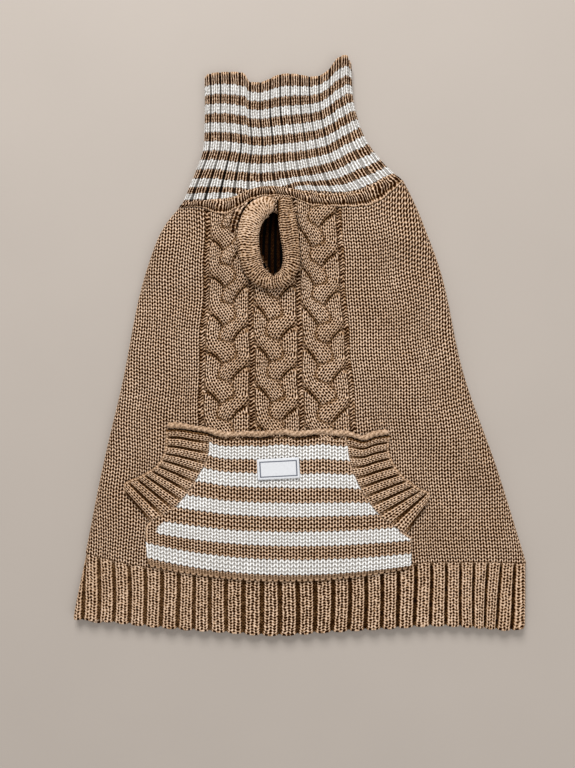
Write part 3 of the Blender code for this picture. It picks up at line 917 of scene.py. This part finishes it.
def beside_trim(x, y):
    """How far along the leash hole's trim a place lies, and how far off the trim's left side."""
    roll = Roll(TRIM_ROUTE, TRIM_GRID[0] // 4, TRIM_GRID[1], 0.0, TRIM_TIPS)
    away = np.hypot(*(np.stack([x, y])[:, :, None] - roll.middle.T[:, None]))
    nearest = away.argmin(axis=1)
    off = away.min(axis=1) - roll.widths[nearest] / 2
    outwards = (roll.middle[nearest, 0] - LEASH_HOLE["middle"][0]) * (x - roll.middle[nearest, 0]) > 0
    return roll.run[nearest], np.where(outwards, off, NOT_BESIDE)


def knit_cables():
    """Knit the panel of three plaits between its gutters, and cut the leash hole."""
    hidden = np.linspace(0, CABLE_SHOWN, CABLE_ROWS[0], endpoint=False)
    shown = np.linspace(CABLE_SHOWN, 1, CABLE_ROWS[1])
    wall = Wall(np.concatenate([hidden, shown]))
    bottom = HEM_TOP[4][1]
    tall = NECK_SEAM[5][1] - bottom

    def shape(column, row, sunk):
        rise, depth, past = wall.at(row, sunk)
        left = through(CABLE_GUTTERS, rise, 1)
        right = through(CABLE_GUTTERS, rise, 2)
        x = left - GUTTER / 2 + (right - left + GUTTER) * column / CABLE_COLUMNS
        place = (x - left) / (right - left) * PLAITS
        across = (place - np.clip(np.floor(place), 0, PLAITS - 1) - 0.5) * PLAIT_PITCH
        height, wale, course, slant, crease_shade = plait(across, PLAIT_START - bottom - rise * tall)
        knit = height - 0.6 + stitch_height(wale, course)
        from_middle = PLAIT_PITCH / 2 - np.abs(across)
        from_gutter = np.where(across > 0, from_middle, -from_middle) / GUTTER
        ladder_wale = 0.37 + 0.05 * from_gutter
        rung = 1.05 * rise * BODY_COURSES + 0.2 * np.sin(rise * 90.0)
        rung = rung + 0.3 * np.sin(2 * math.pi * from_gutter)
        ladder = -0.5 + stitch_height(ladder_wale, rung)
        gutter = np.maximum(1 - smooth(from_middle, GUTTER * 0.25, GUTTER * 0.6), smooth(height, 0.3, -0.3))
        knit = knit + (ladder - knit) * gutter
        shows = smooth(rise, CABLE_SHOWN - 0.01, CABLE_SHOWN + 0.025)
        knit = in_wall(knit * shows - 1 + shows, depth)
        run, from_trim = beside_trim(*BODY.place(BODY.along(x, rise), rise, 0.0).T[:2])
        off = (from_trim - TRIM_RIDGE["from_trim"]) / TRIM_RIDGE["half_width"]
        ridge = shows * outer(depth) * np.exp(-off ** 4) * smooth(run, 38, 28) * smooth(run, 0, 6)
        knit = knit + ridge * (TRIM_RIDGE["height"] + 2.9 - height)
        in_gutter = gutter > 0.5
        wale = np.where(in_gutter, ladder_wale, wale)
        course = np.where(in_gutter, rung, course)
        # Painted shade: along the edges of the gutters, in the gutters where the strands dip away, in the
        # plaits' creases, and full on the inner skin.
        rung_edge_shade = 0.3 * smooth(np.abs(gutter - 0.5), 0.5, 0.2)
        valley_shade = 0.36 * smooth(height, 0.0, -5.0)
        painted_shade = lined(np.maximum(np.where(in_gutter, valley_shade, crease_shade), rung_edge_shade), depth)
        on_ridge = ridge > 0.3
        wale = np.where(on_ridge, off / 2 + 0.5, wale)
        course = np.where(on_ridge, run / TRIM_RIDGE["course"], course)
        # Painted shade along the edges of the ridge beside the trim.
        painted_shade = np.where(on_ridge, 0.5 * smooth(np.abs(off), 0.7, 1.1), painted_shade)
        closed = np.where(in_gutter | on_ridge, 0, 0.18 + 0.16 * slant)
        points = BODY.place(BODY.along(x, rise), rise, knit, past)
        return points, wale, course, {"painted_shade": painted_shade, "closed": closed}

    piece = new_knit("cable_panel", CABLE_COLUMNS, wall.rows, shape, ring=False)
    cut_oval(piece, LEASH_HOLE["middle"], LEASH_HOLE["width"], LEASH_HOLE["length"], FOLD, 10 * FOLD)
    dress(piece, "back_panel", yarn_material("cable tan cotton", uneven=0.55))


def knit_belly():
    """Knit the belly panel in rib, with its two leg openings."""
    wall = Wall(even(BELLY_ROWS), inner=BELLY_ROWS)
    columns = BELLY_RIBS * PER_BELLY_RIB

    def shape(column, row, sunk):
        rise, depth, past = wall.at(row, sunk)
        share = UNDERLAP + (1 - 2 * UNDERLAP) * column / columns
        along = BODY.flat(rise) * (1 + share) + 3 * BODY.quarter + SEAM * (0.5 - share)
        high, wale, painted_shade = rib(column / PER_BELLY_RIB, HIDDEN_KNIT_SHARE)
        high_inside, _, painted_shade_inside = rib(column / PER_BELLY_RIB + 0.5, HIDDEN_KNIT_SHARE)
        outside = outer(depth)
        height = BELLY_RIB * ((high - 1) * outside - (high_inside - 1) * (1 - outside)) - depth
        points = BODY.place(along, rise, height, past)
        # Painted shade in the grooves of its rib, and nearly full painted shade on its inner skin.
        painted_shade = painted_shade * outside + (0.88 + 0.12 * painted_shade_inside) * (1 - outside)
        return points, wale, rise * BODY_COURSES, {"painted_shade": painted_shade}

    piece = new_knit("belly_rib", columns, wall.rows, shape, ring=False)
    around_cuff = 2 * CUFF_DEPTH + 2 * SEAM
    for middle in LEG_OPENINGS.values():
        cut_oval(piece, middle, LEG_WIDTH + around_cuff, LEG_LENGTH + around_cuff, -3 * FOLD, FOLD)
    dress(piece, "belly_panel", yarn_material("belly tan cotton"))


def knit_leg_ribs():
    """Knit the rib rings round the leg openings."""
    columns = CUFF_RIBS * PER_CUFF_RIB
    for side, middle in LEG_OPENINGS.items():
        wall = Wall(even(CUFF_ROWS), inner=CUFF_ROWS, low_end=WALL / 2)

        def shape(column, row, sunk, middle=middle, wall=wall):
            rise, depth, past = wall.at(row, sunk)
            out = rise * CUFF_DEPTH + past
            turn = 2 * math.pi * column / columns
            high, wale, painted_shade = rib(column / PER_CUFF_RIB, HIDDEN_KNIT_SHARE)
            height = in_wall(CUFF_RIB * (high - 1), depth)
            x = middle[0] + (LEG_WIDTH / 2 + out) * np.sin(turn)
            y = middle[1] + (LEG_LENGTH / 2 + out) * np.cos(turn)
            z = folds(HOLLOWS, x, y) - height
            # Painted shade in the grooves of its rib.
            return np.stack([x, y, z], -1), wale, out / CUFF_COURSE, {"painted_shade": painted_shade}

        piece = new_knit(f"leg_rib_{side}", columns, wall.rows, shape)
        dress(piece, f"leg_cuff_{side}", yarn_material(f"{side} leg tan cotton"))


def knit_hem():
    """Knit the ribbed hem."""
    wall = Wall(even(HEM_COURSES * PER_HEM_COURSE), low_end=WALL / 2)
    deep = in_millimetres("hem_rib")
    around = HEM.around(0.0)
    upright = HEM.flat(0.0) + 3 * HEM.quarter + HEM_UPRIGHT

    def shape(column, row, sunk):
        rise, depth, past = wall.at(row, sunk)
        from_right = column / sum(PER_HEM_RIB)
        share = 0.85 + 0.03 * smooth(from_right, 12, 4)
        share = share + 0.03 * smooth(rise, 0.8, 1.0) + 0.02 * smooth(rise, 0.12, 0.0)
        place = rib_place(column, PER_HEM_RIB, share)
        high, wale, painted_shade = rib(place, share)
        leftward = through(HEM_SPACING, place) / HEM_SPACING[-1][1] * around
        leftward = leftward + 3.2 * (1 - rise) * near(leftward, 24, 16) * smooth(leftward, 0, 12)
        squeeze = (HEM.around(rise) - upright) / (around - upright)
        leftward = np.where(leftward < upright, leftward, upright + (leftward - upright) * squeeze)
        course = rise * HEM_COURSES
        fade = 1 - 0.7 * smooth(rise, 0.93, 1.0)
        height = deep * fade * (high - 1) + stitch_height(wale, course)
        scallop = 1.4 * (1 - high) * smooth(rise, 0.08, 0.0)
        along = HEM.flat(rise) + 2 * HEM.quarter - leftward
        points = HEM.place(along, rise, in_wall(height, depth), past + scallop)
        under = points[:, 2] < FOLD
        points[:, 1] -= under * 3.0 * near(points[:, 0], -168, 11) * (1 - rise) ** 3
        # Painted shade in the grooves of its rib: uneven, fading at the top, deepest near the right fold.
        uneven = 0.88 + 0.12 * np.sin(2.2 * from_right + 8.0 * rise) * np.sin(31.0 * rise + from_right)
        painted_shade = painted_shade * fade * uneven * (0.72 + 0.23 * smooth(from_right, 20, 8))
        closed = 0.38 - 0.26 * near(from_right, 15, 6) + 0.3 * outer_legs(wale)
        return points, wale, course, {"painted_shade": painted_shade, "closed": closed}

    piece = new_knit("hem_rib", HEM_RIBS * sum(PER_HEM_RIB), wall.rows, shape)
    dress(piece, "hem", yarn_material("hem tan cotton", uneven=0.8))


def knit_neck_band():
    """Knit the puffed band between body and collar, with the chain of its linking seam."""
    wall = Wall(even(BAND_ROWS))
    puff = in_millimetres("puff")

    def shape(column, row, sunk):
        rise, depth, past = wall.at(row, sunk)
        wale = column / PER_BAND_WALE
        along = wale / BAND_WALES * BAND.around(rise)
        course = rise * BAND_COURSES
        top = np.clip(np.cos(BAND.skin(along, rise)[1]), 0, 1)
        proud = puff * np.sin(math.pi * smooth(rise, 0.05, 0.98)) ** 0.8
        wave = 0.03 * np.sin(2 * math.pi * BAND_WAVES * wale / BAND_WALES)
        chain = near(rise, 0.1 + wave, 0.07)
        stretch = 0.75 * smooth(rise, 1.0, 0.6)
        lines = 1.2 * stitch_height(wale, course, stretch)
        height = (proud + chain * (1.0 + 0.4 * np.cos(2 * math.pi * wale))) * top + lines * (1 - chain)
        points = BAND.place(along, rise, in_wall(height, depth), past)
        wale = wale + 0.14 * np.sin(1.9 * wale) + 0.1 * np.sin(0.83 * wale + 5.0 * rise)
        # Painted shade: a dark line just over the chain, the lower part darker, the foot at the neck seam
        # near black, and full on the inner skin.
        painted_shade = 0.5 * near(rise, 0.27, 0.05) + 0.08 * smooth(rise, 0.7, 0.4) * (1 - chain)
        painted_shade = lined(np.maximum(painted_shade, 0.9 * smooth(rise, 0.05, 0.0)), depth)
        # The chain and the upper part have their holes closed; the upper part shows lighter, partly as a
        # painted highlight where the puff faces the light.
        closed = np.maximum(chain, 0.35 * smooth(rise, 0.6, 0.8))
        return points, wale, course, {"painted_shade": painted_shade, "stretch": stretch, "closed": closed}

    piece = new_knit("neck_band", BAND_WALES * PER_BAND_WALE, wall.rows, shape)
    dress(piece, "collar_band", yarn_material("neck tan cotton"))


def knit_collar():
    """Knit the striped turtleneck collar."""
    wall = Wall(even(COLLAR_COURSES * PER_COURSE), high_end=WALL / 2)
    deep = in_millimetres("collar_rib")

    def shape(column, row, sunk):
        rise, depth, past = wall.at(row, sunk)
        share = 0.86 + 0.05 * smooth(rise, 0.0, 0.4)
        place = rib_place(column, PER_COLLAR_RIB, share)
        high, wale, painted_shade = rib(place, share)
        along = place / COLLAR_RIBS * COLLAR.around(rise)
        top_x = COLLAR.top_x(*COLLAR.skin(along, rise))
        edge, stripe = through(COLLAR_EDGE, top_x), through(COLLAR_STRIPE, top_x)
        skin_x, skin_y, _ = COLLAR.place(along, rise, 0.0).T
        below = edge - skin_y
        over_band = np.maximum(skin_y - through(BAND_TOP, skin_x), 0)
        course = COLLAR_COURSES - (stripe + (edge - stripe) * np.exp(-below / 24.0) - skin_y) / COLLAR_COURSE
        course = course - through(COLLAR_GATHER, skin_x, 1) * near(over_band, 0, 8)
        course = course - through(COLLAR_GATHER, skin_x, 2) * np.exp(-over_band / 35)
        height = deep * (high - 1) + 0.8 * stitch_height(wale, course)
        points = COLLAR.place(along, rise, in_wall(height, depth), past)
        trough = near(points[:, 0], COLLAR_TROUGH["across"], COLLAR_TROUGH["half_width"]) * rise ** 2
        points[:, 2] -= COLLAR_TROUGH["depth"] * trough * smooth(points[:, 2], FOLD - 1, FOLD + 1)
        number = np.floor(place)
        uneven = 0.85 + 0.15 * np.sin(2.4 * number) * np.sin(7.0 * rise + 1.7 * number)
        # Painted shade in the grooves of its rib: uneven from rib to rib, fainter in the lower part right of
        # X -50, and halved at the right end.
        shallow = 0.45 * smooth(skin_x, -50, 5) * smooth(rise, 0.6, 0.25)
        painted_shade = painted_shade * uneven * (1.05 - shallow) * (1 - 0.5 * smooth(skin_x, 22, 36))
        stretch = 0.5 + 0.35 * smooth(course, COLLAR_COURSES - 4.5, COLLAR_COURSES - 3.5)
        closed = np.maximum(0.2 * outer_legs(wale), 0.75 * smooth(rise, 0.98, 0.995))
        return points, wale, course, {"painted_shade": painted_shade, "stretch": stretch, "closed": closed}

    piece = new_knit("collar_rib", COLLAR_RIBS * sum(PER_COLLAR_RIB), wall.rows, shape)
    dress(piece, "collar", yarn_material("striped collar cotton", 0.7, COLLAR_STRIPES))


def roll_leash_edge():
    """Roll the plain-knit trim round the leash hole."""
    roll = Roll(TRIM_ROUTE, *TRIM_GRID, in_millimetres("roll"), TRIM_TIPS)

    def shape(column, row, sunk):
        wale = roll.run[column] / TRIM_WALE
        course = row / roll.turns * TRIM_COURSES
        from_tip = roll.run[column]
        pinch = near(roll.middle[column, 0], TRIM_PINCH["across"], TRIM_PINCH["half_width"])
        pinch = TRIM_PINCH["depth"] * pinch * (roll.middle[column, 1] < TRIM_PINCH["below"])
        inwards = np.clip(-np.cos(2 * math.pi * row / roll.turns), 0, 1)
        swell = 0.6 * stitch_height(wale, course, 0.6) * smooth(from_tip, 0.5, 5.0) - pinch * inwards
        points, turn = roll.place(column, row, sunk, swell)
        # Painted shade on the roll's underside and its inner side, and a little darker past its first 30 mm.
        painted_shade = smooth(np.sin(turn) + 0.3 * inwards, 0.3, -0.3)
        painted_shade = np.maximum(painted_shade, 0.07 * smooth(from_tip, 30.0, 50.0))
        x, y = points[:, 0], points[:, 1]
        # Painted shade: a dark line where the lapped end meets its arm.
        lap_shade = near(x, TRIM_LAP["across"], TRIM_LAP["half_width"])
        lap_shade = lap_shade * smooth(y, 101, 106) * smooth(y, 125, 121) * (from_tip > 40)
        points[:, 2] += 1.5 * smooth(from_tip, 16, 0) * (np.sin(turn) > 0)
        wale = wale + 0.14 * np.sin(1.3 * course + from_tip / 9.0) + 0.1 * np.sin(from_tip / 4.7)
        closed = 0.46 + 0.24 * smooth(from_tip, 60.0, 20.0)
        return points, wale, course, {"painted_shade": np.maximum(painted_shade, lap_shade), "stretch": 0.3, "closed": closed}

    piece = new_knit("leash_roll", *TRIM_GRID, shape, ring=False)
    dress(piece, "leash_trim", yarn_material("leash roll tan cotton"))


def pocket_top(x):
    """Y of the pocket's upper edge, under its rolled edge."""
    return through(TOP_EDGE_ROUTE, x) - TOP_EDGE_THICKNESS / 2 - 2 * SEAM


def pouch_side(down, side):
    """X on the pouch's left side, 0, or right side, 1, with Y of its even courses and their pull there."""
    top, bottom = POUCH_SIDES[0][2 + 2 * side], POUCH_SIDES[-1][2 + 2 * side]
    y = top + down * (bottom - top)
    pull = through(POUCH_PULL, down, 1 + side)
    return through([(-stop[2 + 2 * side], stop[1 + 2 * side]) for stop in POUCH_SIDES], -y - pull), y, pull


def pouch_point(down, x):
    """Share across the pouch and Y on one of its courses."""
    (left, left_y, left_pull), (right, right_y, right_pull) = pouch_side(down, 0), pouch_side(down, 1)
    share = (x - left) / (right - left)
    straight_top = POUCH_SIDES[0][2] + share * (POUCH_SIDES[0][4] - POUCH_SIDES[0][2])
    y = left_y + share * (right_y - left_y) + left_pull * (1 - share) ** 4 + right_pull * share ** 4
    y = y - POUCH_SAG * down ** 1.3 * (1 - (2 * share - 1) ** 2)
    return share, y + (pocket_top(x) - straight_top) * (1 - down) ** TOP_EASE


def pouch_skin(down, share):
    """Height of the pouch's outer skin."""
    full = 4 * share * (1 - share) * np.sin(math.pi * down)
    return 2 * FOLD + SEAM + WALL + POUCH_FULLNESS * full


def knit_pouch():
    """Knit the striped pouch of the pocket."""
    wall = Wall(even(POUCH_COURSES * PER_COURSE), low_end=WALL / 2)
    wale_width = in_millimetres("pouch_wale")
    start = POUCH_WALES[0] * wale_width

    def shape(column, row, sunk):
        rise, depth, past = wall.at(row, sunk)
        down = 1 - rise
        left = pouch_side(down, 0)[0]
        right = pouch_side(down, 1)[0]
        x = np.clip(start + column * wale_width / PER_POUCH_WALE, left, right)
        share, y = pouch_point(down, x)
        wale = (x - start) / wale_width
        course = through(POUCH_SPACING, rise)
        edge = np.minimum(x - left, right - x)
        rounded = 1.4 * (1 - smooth(edge, 0.0, 3.0)) + 1.6 * (1 - smooth(rise, 0.0, 0.04))
        height = in_wall(stitch_height(wale, course) - rounded, depth)
        z = pouch_skin(down, share) + height + folds(FOLDS, x, y)
        pair, first = POUCH_STRIPES
        tan = smooth(np.abs((first - course) / pair % 1 - 0.75), 0.27, 0.23)
        lowest = smooth(course, 3.0, 2.0)
        closed = np.maximum(np.maximum(smooth(edge, 2.4, 1.0), 0.7 * lowest), 0.06 * tan)
        # Painted shade: a shadow under the rolled top edge, darker at the rolled sides and along the lowest
        # courses, full on the inner skin.
        shadow_under_roll = 0.75 * smooth(rise, 0.975, 0.995)
        painted_shade = lined(0.12 * lowest + 0.6 * smooth(edge, 0.7, 0.0) + shadow_under_roll, depth)
        y = y + past + WALL / 2 * down ** 8
        mended_left = smooth(x - left, 10.0, 8.5) * (course > 9) * (course < 16)
        mended_right = smooth(right - x, 3.5, 2.5) * (course > 9) * (course < 14.5)
        looks = {"painted_shade": painted_shade, "closed": closed, "plain": mended_left + mended_right}
        return np.stack([x, y, z], -1), wale, course, looks

    columns = (POUCH_WALES[1] - POUCH_WALES[0]) * PER_POUCH_WALE
    piece = new_knit("pocket_front", columns, wall.rows, shape, ring=False)
    dress(piece, "pocket_pouch", yarn_material("striped pocket cotton", 0.25, POUCH_STRIPES))


def knit_pocket_ribs():
    """Knit the rib bands along the pocket's two hand openings."""
    deep = in_millimetres("pocket_rib")
    for side, column_of_x in (("left", 1), ("right", 3)):
        wall = Wall(even(POCKET_COURSES * PER_COURSE), low_end=WALL / 2)

        def shape(column, row, sunk, at=column_of_x, wall=wall):
            rise, depth, past = wall.at(row, sunk)
            place = rib_place(column, PER_POCKET_RIB, POCKET_KNIT_SHARE)
            high, wale, painted_shade = rib(place, POCKET_KNIT_SHARE)
            down = place / POCKET_RIBS
            seam = [through(POUCH_SIDES, down * SEAM_SHARE, axis) for axis in (at, at + 1)]
            free = [through(BAND_FREE_EDGES, down, axis) for axis in (at, at + 1)]
            from_free = rise + (past + WALL / 2 * (1 - rise)) / np.hypot(seam[0] - free[0], seam[1] - free[1])
            x = free[0] + from_free * (seam[0] - free[0])
            y = free[1] + from_free * (seam[1] - free[1])
            free_top, seam_top = BAND_FREE_EDGES[0][at + 1], POUCH_SIDES[0][at + 1]
            straight_top = free_top + rise * (seam_top - free_top)
            y = y + (pocket_top(x) - straight_top) * (1 - down) ** TOP_EASE
            course = rise * POCKET_COURSES
            height = in_wall(deep * (high - 1) + 0.5 * stitch_height(wale, course), depth)
            z = 2 * FOLD + SEAM + WALL + 0.5 + height + folds(FOLDS, x, y)
            # Painted shade in the grooves of its rib, fading towards the seam and the free edge, full on the
            # inner skin, and a shadow at its top end under the rolled edge.
            painted_shade = lined(0.8 * painted_shade * smooth(rise, 1.1, 0.6) * smooth(rise, 0.0, 0.06), depth)
            painted_shade = np.maximum(painted_shade, 0.7 * smooth(down, 0.035, 0.01))
            closed = np.maximum(0.8 * smooth(rise, 0.03, 0.01), 0.3 + 0.2 * outer_legs(wale))
            return np.stack([x, y, z], -1), wale, course, {"painted_shade": painted_shade, "closed": closed}

        columns = POCKET_RIBS * sum(PER_POCKET_RIB)
        piece = new_knit(f"pocket_rib_{side}", columns, wall.rows, shape, ring=False)
        cotton = yarn_material(f"{side} pocket rib tan cotton", uneven=0.6)
        dress(piece, f"pocket_band_{side}", cotton)


def roll_pocket_edge():
    """Roll the edge along the top of the pocket."""
    route = [(*stop, TOP_EDGE_THICKNESS) for stop in TOP_EDGE_ROUTE]
    roll = Roll(route, *TOP_EDGE_GRID, TOP_EDGE_THICKNESS + 0.6, tips=(2.5, 2.5))

    def shape(column, row, sunk):
        wale = roll.run[column] / TOP_EDGE_WALE
        swell = 0.35 * np.cos(2 * math.pi * (wale + row / roll.turns)) + 0.3 * np.sin(roll.run[column] / 5.3)
        points, turn = roll.place(column, row, sunk, swell)
        # Painted shade on the roll's underside.
        painted_shade = smooth(np.sin(turn), 0.2, -0.5)
        return points, 3 * wale, row / roll.turns * 4 + 2 * wale, {"painted_shade": painted_shade, "closed": 0.75}

    piece = new_knit("pocket_roll", *TOP_EDGE_GRID, shape, ring=False)
    dress(piece, "pocket_top_edge", yarn_material("pocket roll tan cotton"))


def weave_label():
    """Weave the label on the pouch."""
    turn = math.radians(LABEL["turn"])

    def shape(column, row, sunk):
        across = (column / LABEL_GRID[0] - 0.5) * LABEL["width"]
        up = (row / LABEL_GRID[1] - 0.5) * LABEL["height"]
        x = LABEL["middle"][0] + across * math.cos(turn) - up * math.sin(turn)
        y = LABEL["middle"][1] + across * math.sin(turn) + up * math.cos(turn)
        pull = 0.25 * smooth(np.abs(across), LABEL["width"] / 2 - 1.6, LABEL["width"] / 2 - 0.8)
        waver = 0.1 + 0.12 * np.sin(across * 0.35 + 1.0)
        z = pouch_skin(LABEL_DOWN, 0.5) + SEAM + waver - pull + folds(FOLDS, x, y)
        return np.stack([x, y, z], -1), across, up, {}

    piece = new_knit("woven_label", *LABEL_GRID, shape)
    cloth = piece.modifiers.new("Cloth", "SOLIDIFY")
    cloth.thickness = LABEL["thickness"] * MM
    cloth.offset = 1.0
    bpy.context.view_layer.objects.active = piece
    bpy.ops.object.modifier_apply(modifier=cloth.name)
    dress(piece, "label", label_material())


def set_stage():
    """Lay the floor and set up the lights and the camera."""
    scene = bpy.context.scene
    bpy.ops.object.select_all(action="DESELECT")
    bpy.ops.mesh.primitive_grid_add(x_subdivisions=8, y_subdivisions=8, size=FLOOR_SIZE)
    floor = bpy.context.active_object
    floor.name = "floor"
    floor.data.materials.append(floor_material())
    world = bpy.data.worlds.new("soft room")
    world.use_nodes = True
    background = world.node_tree.nodes["Background"]
    background.inputs["Color"].default_value = ROOM
    background.inputs["Strength"].default_value = ROOM_STRENGTH
    scene.world = world
    for name, place, size, power in LIGHTS:
        light = bpy.data.lights.new(name, "AREA")
        light.size = size
        light.energy = power
        lamp = bpy.data.objects.new(name, light)
        scene.collection.objects.link(lamp)
        lamp.location = place
        lamp.rotation_euler = (-lamp.location).to_track_quat("-Z", "Y").to_euler()
    camera = bpy.data.cameras.new("camera")
    camera.lens = 35.0
    camera.sensor_width = 36.0
    viewer = bpy.data.objects.new("camera", camera)
    scene.collection.objects.link(viewer)
    across, up, height = VIEW_MIDDLE
    viewer.location = (across, up, height + VIEW_LENGTH * camera.lens / camera.sensor_width)
    scene.camera = viewer
    scene.view_settings.view_transform = "Standard"


class SWEATER_OT_back_sides(bpy.types.Operator):
    """Knit the two plain sides of the back"""

    bl_idname = "sweater.back_sides"
    bl_label = "Back sides"

    def execute(self, context):
        knit_side("left")
        knit_side("right")
        return {"FINISHED"}


class SWEATER_OT_cables(bpy.types.Operator):
    """Knit the cable panel with its leash hole"""

    bl_idname = "sweater.cables"
    bl_label = "Cable panel"

    def execute(self, context):
        knit_cables()
        return {"FINISHED"}


class SWEATER_OT_belly(bpy.types.Operator):
    """Knit the belly panel and the ribs round its leg openings"""

    bl_idname = "sweater.belly"
    bl_label = "Belly and leg ribs"

    def execute(self, context):
        knit_belly()
        knit_leg_ribs()
        return {"FINISHED"}


class SWEATER_OT_hem(bpy.types.Operator):
    """Knit the ribbed hem"""

    bl_idname = "sweater.hem"
    bl_label = "Hem"

    def execute(self, context):
        knit_hem()
        return {"FINISHED"}


class SWEATER_OT_neck_band(bpy.types.Operator):
    """Knit the puffed band at the neck"""

    bl_idname = "sweater.neck_band"
    bl_label = "Neck band"

    def execute(self, context):
        knit_neck_band()
        return {"FINISHED"}


class SWEATER_OT_collar(bpy.types.Operator):
    """Knit the striped collar"""

    bl_idname = "sweater.collar"
    bl_label = "Collar"

    def execute(self, context):
        knit_collar()
        return {"FINISHED"}


class SWEATER_OT_leash_roll(bpy.types.Operator):
    """Roll the edge round the leash hole"""

    bl_idname = "sweater.leash_roll"
    bl_label = "Leash hole roll"

    def execute(self, context):
        roll_leash_edge()
        return {"FINISHED"}


class SWEATER_OT_pocket(bpy.types.Operator):
    """Knit the pocket: its striped pouch, its rib bands and its rolled top edge"""

    bl_idname = "sweater.pocket"
    bl_label = "Pocket"

    def execute(self, context):
        knit_pouch()
        knit_pocket_ribs()
        roll_pocket_edge()
        return {"FINISHED"}


class SWEATER_OT_label(bpy.types.Operator):
    """Weave the label"""

    bl_idname = "sweater.label"
    bl_label = "Label"

    def execute(self, context):
        weave_label()
        return {"FINISHED"}


class SWEATER_OT_stage(bpy.types.Operator):
    """Lay the floor and set up the lights and the camera"""

    bl_idname = "sweater.stage"
    bl_label = "Stage"

    def execute(self, context):
        set_stage()
        return {"FINISHED"}


OPERATORS = (
    SWEATER_OT_back_sides, SWEATER_OT_cables, SWEATER_OT_belly, SWEATER_OT_hem, SWEATER_OT_neck_band,
    SWEATER_OT_collar, SWEATER_OT_leash_roll, SWEATER_OT_pocket, SWEATER_OT_label, SWEATER_OT_stage,
)


class SWEATER_PT_pieces(bpy.types.Panel):
    """Lists the pieces and their sizes and colours"""

    bl_idname = "SWEATER_PT_pieces"
    bl_label = "Dog sweater"
    bl_space_type = "VIEW_3D"
    bl_region_type = "UI"
    bl_category = "Sweater"

    def draw(self, context):
        for group in (context.scene.sweater_sizes, context.scene.sweater_colours):
            for name in group.__annotations__:
                self.layout.prop(group, name)
        for operator in OPERATORS:
            self.layout.operator(operator.bl_idname)


CLASSES = (SweaterSizes, SweaterColours, *OPERATORS, SWEATER_PT_pieces)


def register():
    """Register the classes and keep the sizes and colours on the scene."""
    for item in CLASSES:
        bpy.utils.register_class(item)
    bpy.types.Scene.sweater_sizes = bpy.props.PointerProperty(type=SweaterSizes)
    bpy.types.Scene.sweater_colours = bpy.props.PointerProperty(type=SweaterColours)


def unregister():
    """Take the classes, sizes and colours away."""
    del bpy.types.Scene.sweater_colours
    del bpy.types.Scene.sweater_sizes
    for item in reversed(CLASSES):
        bpy.utils.unregister_class(item)


def main():
    """Build the sweater and the stage."""
    register()
    bpy.ops.sweater.back_sides()
    bpy.ops.sweater.cables()
    bpy.ops.sweater.belly()
    bpy.ops.sweater.hem()
    bpy.ops.sweater.neck_band()
    bpy.ops.sweater.collar()
    bpy.ops.sweater.leash_roll()
    bpy.ops.sweater.pocket()
    bpy.ops.sweater.label()
    bpy.ops.sweater.stage()


if __name__ == "__main__":
    main()
